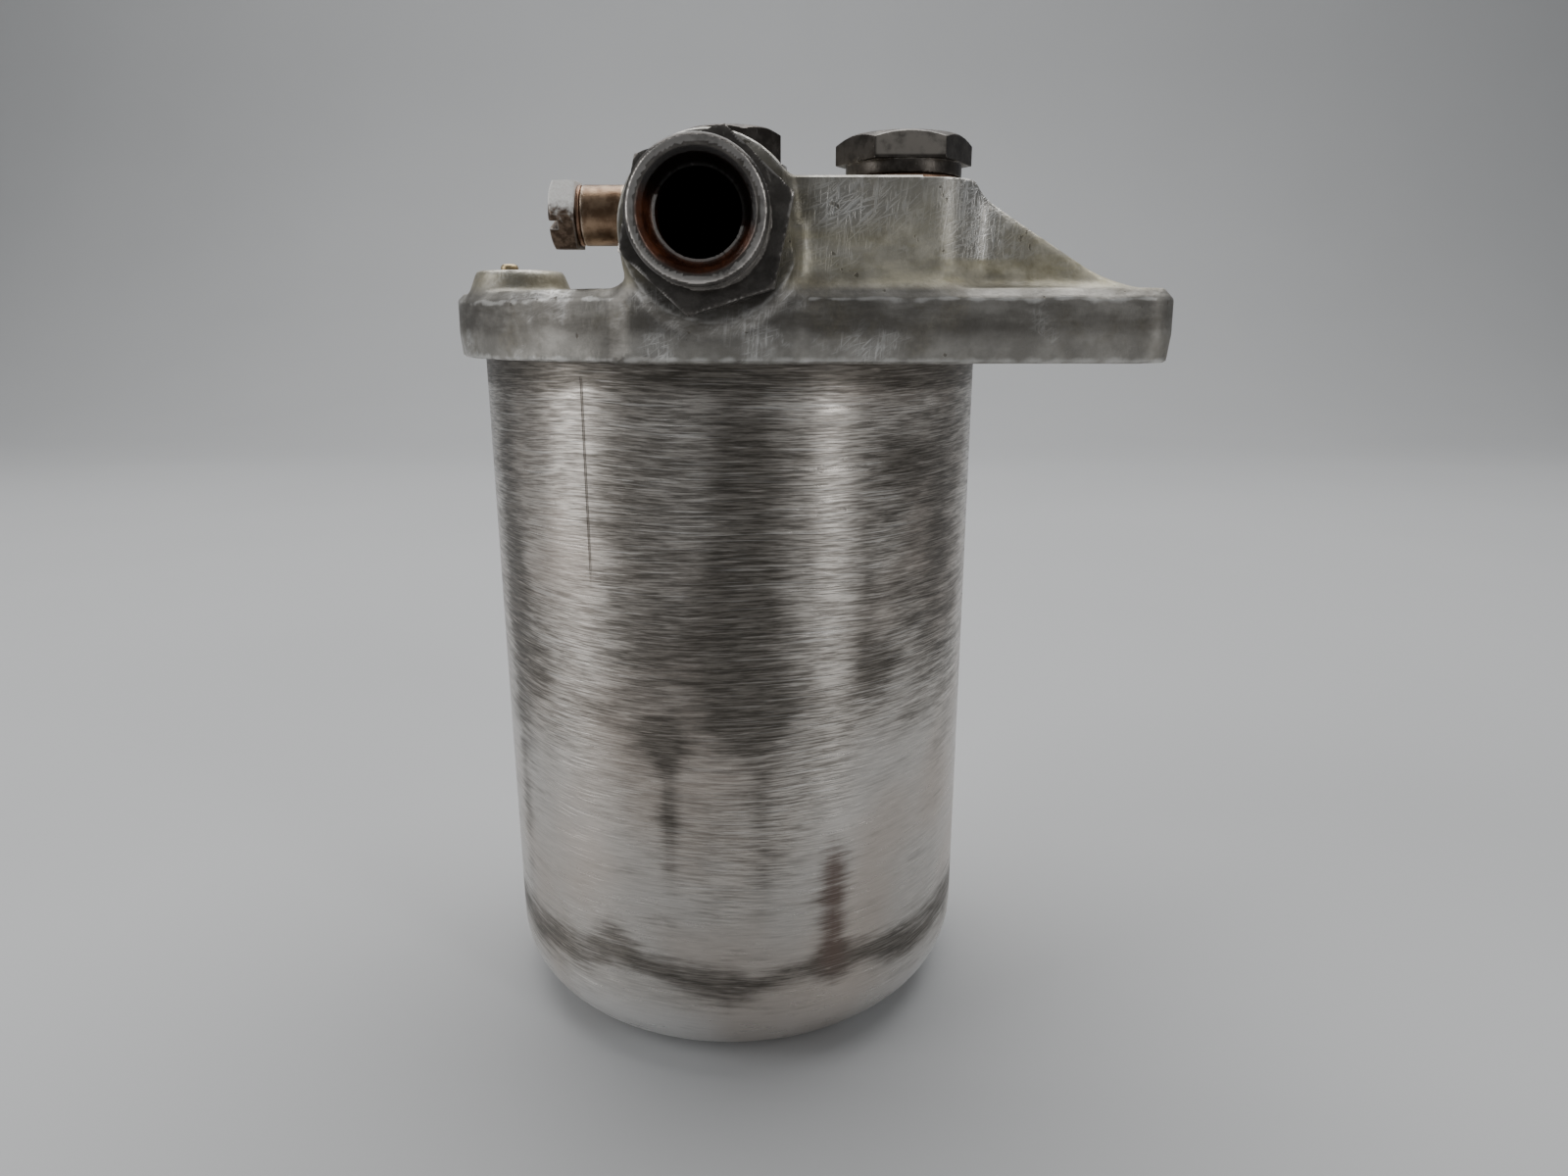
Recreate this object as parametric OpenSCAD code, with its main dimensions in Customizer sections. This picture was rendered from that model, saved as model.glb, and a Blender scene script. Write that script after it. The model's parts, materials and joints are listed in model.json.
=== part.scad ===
// Canister fuel filter: a cast head, a deep-drawn bowl, and a paper element between them.
// It stands on its bowl. The origin is the centre of the bowl's base, +Z is up, the inlet
// faces -Y and the mounting arm reaches along +X. Threads are plain cylinders: a male
// thread has its nominal radius less thread_gap, and its tapped hole the nominal radius.

/* [Bowl] */
// Outside diameter of the bowl
bowl_d = 94; // [93:0.5:95]
// Height of the bowl from its base to its rim
bowl_h = 133.5; // [130:0.5:140]
// Thickness of the bowl's sheet steel
bowl_wall = 1.5; // [1.2:0.1:1.8]
// Outside radius where the wall turns into the base
bowl_corner_r = 14; // [10:1:18]
// Depth that the rim enters the groove under the head
rim_entry = 4.5; // [3:0.5:5]

/* [Centre post and bolt] */
// Diameter of the post that stands on the bowl's floor
post_d = 15; // [14.5:0.5:16]
// Nominal diameter of the centre bolt's thread
bolt_d = 12; // [12]
// Thread length of the centre bolt inside the post
bolt_grip = 15; // [12:1:18]
// Size across the flats of the centre bolt
bolt_af = 17; // [17:1:19]
// Height of the centre bolt's hexagon
bolt_hex_h = 6.2; // [5:0.2:8]

/* [Head casting] */
// Diameter of the round part of the flange
flange_d = 102.5; // [102:0.5:105]
// Thickness of the flange and of the mounting arm
flange_t = 11; // [10:0.1:12]
// Distance from the filter's axis to the end of the mounting arm
arm_reach = 69; // [66:1:75]
// Rear edge of the mounting arm, behind the filter's axis
arm_back = 34; // [32:1:38]
// Distance between the two mounting holes
arm_hole_gap = 40; // [36:1:44]
// Diameter of each mounting hole
arm_hole_d = 9; // [8.4:0.1:10]
// Radius of the boss that carries the inlet
inlet_boss_r = 13.4; // [13:0.1:14]
// Length of the gallery block from the filter's axis to its right side
block_w = 38.4; // [38:0.1:40]
// Height of the gallery block's top above the flange's underside
block_rise = 26.8; // [26:0.1:28]
// Height of the centre boss's top above the flange's underside
hub_rise = 33; // [32:0.5:36]

/* [Inlet and outlet] */
// Height of the inlet's axis above the flange's underside
inlet_rise = 19.2; // [19:0.1:20]
// Nominal diameter of the thread that a fuel pipe's nut screws on
pipe_thread_d = 18; // [18]
// Length of that thread, with its chamfer
pipe_thread_l = 14.5; // [12:0.5:18]
// Nominal diameter of the inlet union's thread in the head
inlet_thread_d = 16; // [16]
// Size across the flats of the inlet union
inlet_af = 22; // [20:1:22]
// Diameter of the fuel way through the inlet union
inlet_bore_d = 11; // [10:0.5:11.5]
// Diameter of the inlet union's bore at its mouth
inlet_mouth_d = 14.2; // [14:0.1:15]
// Nominal diameter of the gallery plug's thread and of the outlet port's
port_thread_d = 14; // [14]
// Size across the flats of the gallery plug
plug_af = 19; // [17:1:19]
// Distance from the filter's axis back to the outlet port's mouth
port_mouth = 22; // [21:0.5:26]

/* [Bleed screw] */
// Diameter of the sleeve that the bleed screw turns in
bleed_sleeve_d = 9; // [8.5:0.5:9.5]
// Size across the flats of the bleed screw
bleed_af = 10; // [8:1:10]
// Nominal diameter of the bleed screw's thread
bleed_d = 6; // [5:1:6]

/* [Filter element] */
// Outside diameter of the element's end caps
element_d = 68; // [60:1:72]
// Height of the element over its end caps
element_h = 94; // [90:1:98]
// Number of pleats in the paper
pleats = 56; // [40:1:64]
// Number of turns of the pressure spring
spring_turns = 5; // [4:1:6]

/* [Hidden] */
$fn = 96;

eps = 0.01;              // overlap that makes two solids one
cut = 1;                 // how far a cutter runs past a face
thread_gap = 0.05;       // radial clearance of every thread
washer_t = 1.5;          // thickness of the copper washers
gasket_h = 2;            // height of the bowl's gasket

bowl_r = bowl_d / 2;
bowl_in_r = bowl_r - bowl_wall;
flange_z = bowl_h - rim_entry;
flange_top = flange_z + flange_t;
flange_r = flange_d / 2;
groove_gap = 0.3;        // room on each side of the bowl's rim in its groove
recess_r = bowl_in_r - 2.5;
recess_h = 3.5;
seat_r = 16;             // machined face under the head that the element seals on

hub_r = 11.5;
hub_top = flange_z + hub_rise;
hub_gallery_r = 9;       // fuel way round the centre bolt
hub_gallery_h = 25;
gallery_r = 4;           // drilling from the centre boss to the gallery plug
gallery_boss_r = 8.2;
gallery_z = flange_z + 16;

block_top = flange_z + block_rise;
block_front = -48.6;
block_rear = -12;
block_corner_r = 6;
arm_corner_r = 5;
arm_hole_x = 57;
spot_r = 9;
spot_depth = 0.6;

inlet_x = -0.5;
inlet_z = flange_z + inlet_rise;
inlet_face = -51.8;      // machined face of the inlet boss
inlet_leg_w = 2 * inlet_boss_r - 1.2;
inlet_flat_x = 11.3;     // flat on the right of the inlet boss, in front of the gallery block
inlet_washer_r = 11;
inlet_cone = 20;         // half angle of the cone in the union's mouth
inlet_hex_h = 6.7;
inlet_tail_l = 12;       // thread of the union inside the head
inlet_gallery_r = 5;
inlet_gallery_l = 19;    // from the inlet face to the gallery's blind end
inlet_drop_y = -37.5;    // where the fuel drops into the bowl
inlet_drop_r = 4.5;

plug_x = 29.5;
plug_y = -30;
plug_hex_h = 4;
plug_collar_h = 2.2;
plug_collar_r = 9.3;
plug_thread_l = 7;
port_z = flange_z + 21.7;
port_boss_r = 10;
port_leg_w = 14;
port_thread_l = 12;
port_way_end = 7;        // inner end of the drilling behind the outlet thread

bleed_y = -38;
bleed_z = flange_z + 22.1;
bleed_hex_x = -21.6;     // face of the sleeve's washer that the hexagon bears on
bleed_washer_t = 0.6;
bleed_hex_h = 4;
bleed_root_r = 4;
bleed_root_x = -9.6;     // inner end of the sleeve, inside the inlet boss
bleed_way_r = 1.6;
bleed_shank_l = 12.4;    // its cone stops just short of the bleed way
slot_w = 1.2;
slot_depth = 1.3;
slot_tilt = -20;

pad_x = -35.5;
pad_y = -22;
pad_r = 8.6;
pad_top_r = 7.2;
pad_h = 3.6;
pad_plug_x = pad_x - 1.8;
pad_plug_r = 1.5;
pad_plug_depth = 3;
pad_plug_proud = 1.2;

post_top = flange_z - 5;
post_hole_depth = 24;
collar_r = 12;
collar_h = 3;

seal_h = 2;
element_top = flange_z - seal_h;
element_z = element_top - element_h;
element_in_r = 12;
cap_t = 1.2;
cap_skirt = 5;
cap_hole_r = 9.2;
sheet_t = 0.5;           // tinplate and card of the element
paper_t = 0.6;
paper_gap = 0.2;
paper_out_r = element_d / 2 - 2 * sheet_t - paper_gap;
paper_in_r = element_in_r + paper_gap;
cup_r = 18;
cup_hole_r = post_d / 2 + 0.5;
cup_t = 1.2;
cup_skirt = 5;
cup_z = element_z - seal_h - cup_t;
spring_r = 14;
spring_wire_r = 1.2;
spring_gap = 0.1;

// Regular hexagonal prism, across flats af, with a chamfered face at its top when chamfer > 0
module hex_prism(af, h, chamfer = 0) {
    corner_r = af / 2 / cos(30);
    intersection() {
        cylinder(r = corner_r, h = h, $fn = 6);
        rotate_extrude()
            polygon([[0, 0], [corner_r + cut, 0], [corner_r + cut, h - chamfer],
                     [corner_r, h - chamfer], [af / 2 - eps, h], [0, h]]);
    }
}

// Flat ring between two radii
module ring(outer_r, inner_r, h) {
    difference() {
        cylinder(r = outer_r, h = h);
        translate([0, 0, -cut]) cylinder(r = inner_r, h = h + 2 * cut);
    }
}

// Turns a shape built along +Z so that it points along -Y
module facing_front() {
    rotate([90, 0, 0]) children();
}

// Turns a shape built along +Z so that it points along -X
module facing_left() {
    rotate([0, -90, 0]) children();
}

// Solid of revolution with a rounded foot
module cup_form(r, h, corner_r) {
    rotate_extrude() {
        translate([0, corner_r]) square([r, h - corner_r]);
        square([r - corner_r, corner_r + eps]);
        intersection() {
            translate([r - corner_r, corner_r]) circle(r = corner_r);
            square([r, h]);
        }
    }
}

module bowl() {
    color("silver")
    difference() {
        cup_form(bowl_r, bowl_h, bowl_corner_r);
        translate([0, 0, bowl_wall])
            cup_form(bowl_in_r, bowl_h, bowl_corner_r - bowl_wall);
    }
}

module centre_post() {
    color("dimgray")
    difference() {
        translate([0, 0, bowl_wall]) cylinder(d = post_d, h = post_top - bowl_wall);
        translate([0, 0, post_top - post_hole_depth])
            cylinder(d = bolt_d, h = post_hole_depth + cut);
    }
}

module post_collar() {
    color("goldenrod")
    translate([0, 0, bowl_wall]) ring(collar_r, post_d / 2, collar_h);
}

// Points of one ring of spring wire, at angle a along the coil
function coil_ring(a, height, sides) = [
    for (i = [0:sides - 1])
        let (w = 360 * i / sides, r = spring_r + spring_wire_r * cos(w))
            [r * cos(a), r * sin(a), height + spring_wire_r * sin(w)]
];

module pressure_spring() {
    sides = 8;
    per_turn = 16;
    rings = spring_turns * per_turn;
    low = bowl_wall + spring_wire_r + spring_gap;
    high = cup_z - spring_wire_r - spring_gap;
    points = [
        for (k = [0:rings])
            each coil_ring(360 * k / per_turn, low + (high - low) * k / rings, sides)
    ];
    walls = [
        for (k = [0:rings - 1], i = [0:sides - 1])
            [k * sides + i, k * sides + (i + 1) % sides,
             (k + 1) * sides + (i + 1) % sides, (k + 1) * sides + i]
    ];
    start_face = [for (i = [0:sides - 1]) sides - 1 - i];
    end_face = [for (i = [0:sides - 1]) rings * sides + i];
    color("slategray")
    polyhedron(points, concat([start_face], walls, [end_face]));
}

// Outline of the flange and its mounting arm
module flange_outline() {
    circle(r = flange_r);
    translate([0, -flange_r]) square([arm_reach - arm_corner_r, flange_r + arm_back]);
    translate([0, -flange_r + arm_corner_r])
        square([arm_reach, flange_r + arm_back - 2 * arm_corner_r]);
    for (y = [-flange_r + arm_corner_r, arm_back - arm_corner_r])
        translate([arm_reach - arm_corner_r, y]) circle(r = arm_corner_r);
}

// Outline of the gallery block, with its two right-hand corners rounded
module block_outline() {
    depth = block_rear - block_front;
    translate([0, block_front]) square([block_w - block_corner_r, depth]);
    translate([0, block_front + block_corner_r])
        square([block_w, depth - 2 * block_corner_r]);
    for (y = [block_front + block_corner_r, block_rear - block_corner_r])
        translate([block_w - block_corner_r, y]) circle(r = block_corner_r);
}

// Upright triangular rib from x0 to x1, between two faces in Y
module gusset(x0, x1, top, y0, y1) {
    foot = 1.2;
    root = 5;            // how far the rib runs into the boss that it stiffens
    translate([0, y1, 0])
        rotate([90, 0, 0])
            linear_extrude(y1 - y0)
                polygon([[x0 - root, flange_top - cut], [x0 - root, top], [x0, top],
                         [x1, flange_top + foot], [x1, flange_top - cut]]);
}

module head_bosses() {
    gallery_angle = atan2(plug_y, plug_x);
    gallery_l = norm([plug_x, plug_y]);
    translate([0, 0, flange_top - eps]) cylinder(r = hub_r, h = hub_top - flange_top + eps);
    translate([0, 0, flange_top - eps])
        linear_extrude(block_top - flange_top + eps) block_outline();
    difference() {
        translate([inlet_x, 0, inlet_z])
            facing_front() cylinder(r = inlet_boss_r, h = -inlet_face);
        translate([inlet_flat_x, inlet_face - cut, flange_z])
            cube([inlet_boss_r, block_front - inlet_face + cut, hub_rise]);
    }
    translate([inlet_x - inlet_leg_w / 2, -flange_r + 1.5, flange_top - eps])
        cube([inlet_leg_w, flange_r - 1.5, inlet_z - flange_top]);
    rotate([0, 0, gallery_angle]) {
        translate([0, 0, gallery_z])
            rotate([0, 90, 0]) cylinder(r = gallery_boss_r, h = gallery_l);
        translate([0, -gallery_boss_r + 1, flange_top - eps])
            cube([gallery_l, 2 * gallery_boss_r - 2, gallery_z - flange_top]);
    }
    translate([0, port_mouth, port_z])
        facing_front() cylinder(r = port_boss_r, h = port_mouth - 2);
    translate([-port_leg_w / 2, 2, flange_top - eps])
        cube([port_leg_w, port_mouth - 4, port_z - flange_top]);
    translate([pad_x, pad_y, flange_top - eps])
        rotate_extrude() polygon([[0, 0], [pad_r, 0], [pad_top_r, pad_h], [0, pad_h]]);
    gusset(block_w + 2.5, arm_reach - 8, block_top - 1, -44, -38);
}

module head_ways() {
    gallery_angle = atan2(plug_y, plug_x);
    // groove for the bowl's rim and gasket, and the recess inside it
    translate([0, 0, flange_z - cut])
        ring(bowl_r + groove_gap, bowl_in_r - groove_gap, rim_entry + gasket_h + cut);
    translate([0, 0, flange_z - cut]) ring(recess_r, seat_r, recess_h + cut);
    // way for the centre bolt, and the clean-side gallery round it
    translate([0, 0, flange_z - cut]) cylinder(d = bolt_d + 0.4, h = hub_rise + 2 * cut);
    translate([0, 0, flange_z - cut]) cylinder(r = hub_gallery_r, h = hub_gallery_h + cut);
    translate([0, 0, gallery_z])
        rotate([0, 90, gallery_angle]) cylinder(r = gallery_r, h = norm([plug_x, plug_y]));
    translate([plug_x, plug_y, gallery_z - 6])
        cylinder(d = port_thread_d, h = block_top - gallery_z + 6 + cut);
    translate([0, port_mouth + cut, port_z])
        facing_front() cylinder(d = port_thread_d, h = port_thread_l + cut);
    translate([0, port_mouth, port_z])
        facing_front() cylinder(r = gallery_r, h = port_mouth - port_way_end);
    // inlet thread, inlet gallery and the drop into the bowl
    translate([inlet_x, inlet_face - cut, inlet_z])
        rotate([-90, 0, 0]) cylinder(d = inlet_thread_d, h = inlet_tail_l + cut + 0.5);
    translate([inlet_x, inlet_face, inlet_z])
        rotate([-90, 0, 0]) cylinder(r = inlet_gallery_r, h = inlet_gallery_l);
    translate([inlet_x, inlet_drop_y, flange_z])
        cylinder(r = inlet_drop_r, h = inlet_z - flange_z);
    // bleed sleeve's hole and the bleed way into the inlet gallery
    translate([bleed_root_x, bleed_y, bleed_z])
        facing_left() cylinder(r = bleed_root_r, h = 10);
    translate([inlet_x, bleed_y, bleed_z]) facing_left() cylinder(r = bleed_way_r, h = 12);
    // pad plug's hole
    translate([pad_plug_x, pad_y, flange_top + pad_h - pad_plug_depth])
        cylinder(r = pad_plug_r, h = pad_plug_depth + cut);
}

module filter_head() {
    color("darkgray")
    difference() {
        union() {
            translate([0, 0, flange_z]) linear_extrude(flange_t) flange_outline();
            head_bosses();
        }
        head_ways();
        for (y = [-arm_hole_gap / 2, arm_hole_gap / 2])
            translate([arm_hole_x, y, flange_z - cut]) {
                cylinder(d = arm_hole_d, h = flange_t + 2 * cut);
                translate([0, 0, flange_t + cut - spot_depth]) cylinder(r = spot_r, h = hub_rise);
            }
    }
}

module bowl_gasket() {
    color("black")
    translate([0, 0, bowl_h])
        ring(bowl_r + groove_gap - 0.1, bowl_in_r - groove_gap + 0.1, gasket_h);
}

module pad_plug() {
    color("goldenrod")
    translate([pad_plug_x, pad_y, flange_top + pad_h - pad_plug_depth]) {
        cylinder(r = pad_plug_r, h = pad_plug_depth + pad_plug_proud - 0.6);
        translate([0, 0, pad_plug_depth + pad_plug_proud - 0.6 - eps])
            rotate_extrude()
                polygon([[0, 0], [pad_plug_r, 0], [pad_plug_r - 0.5, 0.6], [0, 0.6]]);
    }
}

module bleed_sleeve() {
    sleeve_end = bleed_hex_x + bleed_washer_t;
    boss_side = inlet_x - inlet_boss_r;
    color("peru")
    translate([0, bleed_y, bleed_z])
    difference() {
        union() {
            translate([boss_side, 0, 0])
                facing_left() cylinder(d = bleed_sleeve_d, h = boss_side - sleeve_end);
            translate([bleed_root_x, 0, 0])
                facing_left() cylinder(r = bleed_root_r, h = bleed_root_x - sleeve_end);
        }
        translate([bleed_root_x + cut, 0, 0])
            facing_left() cylinder(d = bleed_d, h = bleed_root_x - sleeve_end + 2 * cut);
    }
}

// Pleated ring of paper: the outline zigzags between two radii and has a paper's thickness
module element_paper() {
    step = 360 / pleats;
    outer = [
        for (i = [0:pleats - 1], half = [0, 1])
            let (a = step * (i + half / 2), r = half == 0 ? paper_out_r : paper_in_r + paper_t)
                [r * cos(a), r * sin(a)]
    ];
    inner = [
        for (i = [0:pleats - 1], half = [0, 1])
            let (a = step * (i + half / 2), r = half == 0 ? paper_out_r - 3 * paper_t : paper_in_r)
                [r * cos(a), r * sin(a)]
    ];
    color("wheat")
    translate([0, 0, element_z + cap_t])
        linear_extrude(element_h - 2 * cap_t)
            difference() {
                polygon(outer);
                polygon(inner);
            }
}

// Perforated tube, made for the element's core and for its outer wrap
module perforated_tube(outer_r, inner_r, holes_round, holes_up, hole_r) {
    span = element_h - 2 * cap_t;
    pitch = span / (holes_up + 1);
    translate([0, 0, element_z + cap_t])
    difference() {
        ring(outer_r, inner_r, span);
        for (i = [0:holes_round - 1], k = [1:holes_up])
            rotate([0, 0, 360 * (i + (k % 2) / 2) / holes_round])
                translate([inner_r - cut, 0, k * pitch])
                    rotate([0, 90, 0]) cylinder(r = hole_r, h = outer_r - inner_r + 2 * cut);
    }
}

module element_wrap() {
    wrap_r = element_d / 2 - sheet_t;
    color("tan")
    perforated_tube(wrap_r, wrap_r - sheet_t, 12, 5, 3);
}

module element_core() {
    color("lightsteelblue")
    perforated_tube(element_in_r, element_in_r - sheet_t, 6, 7, 2.4);
}

// Tinplate end cap with an outer and an inner skirt, its flat face up
module element_cap() {
    ring(element_d / 2, cap_hole_r, cap_t);
    translate([0, 0, cap_t - cap_skirt])
        ring(element_d / 2, element_d / 2 - sheet_t, cap_skirt - eps);
}

module element_top_cap() {
    color("khaki")
    translate([0, 0, element_top - cap_t]) element_cap();
}

module element_bottom_cap() {
    color("khaki")
    translate([0, 0, element_z + cap_t]) mirror([0, 0, 1]) element_cap();
}

module element_top_seal() {
    color("black")
    translate([0, 0, element_top]) ring(13.5, 9.6, seal_h);
}

module element_bottom_seal() {
    color("black")
    translate([0, 0, element_z - seal_h]) ring(14, post_d / 2 + 0.1, seal_h);
}

module spring_cup() {
    color("gray")
    translate([0, 0, cup_z]) {
        ring(cup_r, cup_hole_r, cup_t);
        translate([0, 0, cup_t - cup_skirt]) ring(cup_r, cup_r - 1, cup_skirt - eps);
    }
}

module centre_bolt_washer() {
    color("darkgray")
    translate([0, 0, hub_top]) ring(hub_r - 0.7, bolt_d / 2 + 0.1, washer_t);
}

module centre_bolt() {
    seat = hub_top + washer_t;
    tip = 1.2;
    length = seat - post_top + bolt_grip;
    color("dimgray")
    translate([0, 0, seat]) {
        rotate([0, 0, -12]) hex_prism(bolt_af, bolt_hex_h, 1);
        translate([0, 0, -length])
            rotate_extrude()
                polygon([[0, 0], [bolt_d / 2 - tip, 0], [bolt_d / 2 - thread_gap, tip],
                         [bolt_d / 2 - thread_gap, length + eps], [0, length + eps]]);
    }
}

module gallery_plug_washer() {
    color("peru")
    translate([plug_x, plug_y, block_top])
        ring(plug_collar_r, port_thread_d / 2 + 0.1, washer_t);
}

module gallery_plug() {
    seat = block_top + washer_t;
    color("dimgray")
    translate([plug_x, plug_y, seat]) {
        cylinder(r = plug_collar_r, h = plug_collar_h);
        translate([0, 0, plug_collar_h - eps]) hex_prism(plug_af, plug_hex_h + eps, 0.8);
        translate([0, 0, -plug_thread_l - washer_t])
            rotate_extrude()
                polygon([[0, 0], [port_thread_d / 2 - 1, 0], [port_thread_d / 2 - thread_gap, 1],
                         [port_thread_d / 2 - thread_gap, plug_thread_l + washer_t + eps],
                         [0, plug_thread_l + washer_t + eps]]);
    }
}

module inlet_union_washer() {
    color("gray")
    translate([inlet_x, inlet_face, inlet_z])
        facing_front() ring(inlet_washer_r, inlet_thread_d / 2 + 0.1, washer_t);
}

// Along the union's own axis, from its inner end to its mouth
module inlet_union() {
    seat = inlet_tail_l + washer_t;
    mouth = seat + inlet_hex_h + pipe_thread_l;
    taper_l = (inlet_mouth_d - inlet_bore_d) / 2 / tan(inlet_cone);
    chamfer = 0.9;
    color("gray")
    translate([inlet_x, inlet_face + inlet_tail_l, inlet_z])
    facing_front()
    difference() {
        union() {
            cylinder(r = inlet_thread_d / 2 - thread_gap, h = seat + eps);
            translate([0, 0, seat]) rotate([0, 0, 15]) hex_prism(inlet_af, inlet_hex_h, 0.8);
            translate([0, 0, seat + inlet_hex_h - eps])
                rotate_extrude()
                    polygon([[0, 0], [pipe_thread_d / 2, 0],
                             [pipe_thread_d / 2, pipe_thread_l - chamfer],
                             [pipe_thread_d / 2 - chamfer, pipe_thread_l + eps],
                             [0, pipe_thread_l + eps]]);
        }
        translate([0, 0, -cut]) cylinder(d = inlet_bore_d, h = mouth + 2 * cut);
        translate([0, 0, mouth - taper_l])
            rotate_extrude()
                polygon([[0, 0], [inlet_bore_d / 2, 0], [inlet_mouth_d / 2, taper_l],
                         [inlet_mouth_d / 2, taper_l + cut], [0, taper_l + cut]]);
    }
}

module bleed_screw_washer() {
    color("peru")
    translate([bleed_hex_x + bleed_washer_t, bleed_y, bleed_z])
        facing_left() ring(bleed_sleeve_d / 2, bleed_d / 2 + 0.1, bleed_washer_t);
}

module bleed_screw() {
    tip = 1.8;
    shank_r = bleed_d / 2 - thread_gap;
    color("silver")
    translate([bleed_hex_x, bleed_y, bleed_z])
    facing_left()
    difference() {
        union() {
            rotate([0, 0, 27]) hex_prism(bleed_af, bleed_hex_h, 0.6);
            translate([0, 0, -bleed_shank_l])
                rotate_extrude()
                    polygon([[0, 0], [shank_r - tip, 0], [shank_r, tip],
                             [shank_r, bleed_shank_l + eps], [0, bleed_shank_l + eps]]);
        }
        rotate([0, 0, slot_tilt])
            translate([-slot_w / 2, -bleed_af, bleed_hex_h - slot_depth])
                cube([slot_w, 2 * bleed_af, slot_depth + cut]);
    }
}

bowl();
centre_post();
post_collar();
pressure_spring();
filter_head();
bowl_gasket();
pad_plug();
bleed_sleeve();
element_paper();
element_wrap();
element_core();
element_top_cap();
element_bottom_cap();
element_top_seal();
element_bottom_seal();
spring_cup();
centre_bolt_washer();
centre_bolt();
gallery_plug_washer();
gallery_plug();
inlet_union_washer();
inlet_union();
bleed_screw_washer();
bleed_screw();
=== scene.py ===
"""Looks of a canister fuel filter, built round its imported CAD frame.

Shapes are worked out in millimetres and stored in metres. Turned and drawn pieces are lathed
from a profile. Cast and threaded pieces are meshed from a distance field, which is negative
inside the metal, so that fillets, threads and sharp machined edges come out of one formula.
"""
import json
import math

import bmesh
import bpy
import numpy as np
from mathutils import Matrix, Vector


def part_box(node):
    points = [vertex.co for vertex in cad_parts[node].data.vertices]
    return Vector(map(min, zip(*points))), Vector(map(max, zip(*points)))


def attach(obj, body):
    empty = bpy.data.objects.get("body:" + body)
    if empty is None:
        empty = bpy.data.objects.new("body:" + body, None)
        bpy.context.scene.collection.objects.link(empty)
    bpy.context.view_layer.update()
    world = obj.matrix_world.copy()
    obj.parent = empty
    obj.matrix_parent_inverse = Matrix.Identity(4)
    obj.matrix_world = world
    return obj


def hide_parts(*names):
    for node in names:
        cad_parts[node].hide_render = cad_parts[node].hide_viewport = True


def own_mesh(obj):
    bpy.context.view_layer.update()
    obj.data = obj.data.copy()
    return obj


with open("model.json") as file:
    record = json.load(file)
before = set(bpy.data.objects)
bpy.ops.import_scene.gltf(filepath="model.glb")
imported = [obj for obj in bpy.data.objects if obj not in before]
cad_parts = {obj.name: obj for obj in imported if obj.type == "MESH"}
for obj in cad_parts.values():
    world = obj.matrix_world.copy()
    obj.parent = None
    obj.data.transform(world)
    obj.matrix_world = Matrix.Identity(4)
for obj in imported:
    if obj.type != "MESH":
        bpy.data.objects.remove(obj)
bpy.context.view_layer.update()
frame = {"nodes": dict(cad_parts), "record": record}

MM = 0.001
TAU = 2 * math.pi


def place(node):
    """Middle and full size of a CAD node, in millimetres."""
    low, high = (np.array(corner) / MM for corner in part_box(node))
    return (low + high) / 2, high - low


# ---------------------------------------------------------------- distance fields, in mm

def rect(u, v, u0, u1, v0, v1, corner=0.0):
    """Distance to a rectangle in the plane, its corners rounded."""
    du = np.abs(u - (u0 + u1) / 2) - (u1 - u0) / 2 + corner
    dv = np.abs(v - (v0 + v1) / 2) - (v1 - v0) / 2 + corner
    return np.hypot(np.maximum(du, 0), np.maximum(dv, 0)) + np.minimum(np.maximum(du, dv), 0) - corner


def between(w, w0, w1):
    return np.abs(w - (w0 + w1) / 2) - (w1 - w0) / 2


def both(a, b, edge=0.0):
    """What is inside both fields, with the edge where they meet rounded off."""
    if edge == 0.0:
        return np.maximum(a, b)
    return np.minimum(-edge, np.maximum(a, b)) + np.hypot(np.maximum(edge + a, 0), np.maximum(edge + b, 0))


def joined(a, b, fillet=0.0):
    """What is inside either field, with a fillet in the corner between them."""
    if fillet == 0.0:
        return np.minimum(a, b)
    return np.maximum(fillet, np.minimum(a, b)) - np.hypot(np.maximum(fillet - a, 0), np.maximum(fillet - b, 0))


def without(a, b, edge=0.0):
    return both(a, -b, edge)


def hexagon(u, v, across_flats, turn):
    """Distance to a hexagon whose first flat faces the direction turn, in degrees."""
    sides = [
        np.abs(u * math.cos(math.radians(turn + 60 * k)) + v * math.sin(math.radians(turn + 60 * k)))
        for k in range(3)
    ]
    return np.maximum(np.maximum(sides[0], sides[1]), sides[2]) - across_flats / 2


def hex_head(u, v, w, across_flats, w0, w1, turn, chamfer_both=False):
    """Hexagon from w0 to w1 along w, its corners cut back by a 30 degree cone."""
    rho = np.hypot(u, v)
    flat_r = 0.475 * across_flats
    solid = both(hexagon(u, v, across_flats, turn), between(w, w0, w1), 0.15)
    solid = both(solid, (w - w1) * math.cos(math.radians(30)) + (rho - flat_r) * 0.5, 0.12)
    if chamfer_both:
        solid = both(solid, (w0 - w) * math.cos(math.radians(30)) + (rho - flat_r) * 0.5, 0.12)
    return solid


def screw_thread(u, v, w, crest_r, pitch, w0, w1, lead_in=1.0):
    """Right-hand thread along +w from w0 to w1, with a bevelled start at w0."""
    rho = np.hypot(u, v)
    phase = np.mod(w / pitch - np.arctan2(v, u) / TAU, 1.0)
    flank = np.clip((np.abs(phase - 0.5) * 2 - 0.15) / 0.62, 0, 1)
    body = (rho - crest_r + 0.61 * pitch * flank) * 0.75
    return both(both(body, between(w, w0, w1)), ((w0 - w) + (rho - crest_r + lead_in)) * 0.7)


# ---------------------------------------------------------------- meshes

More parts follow.
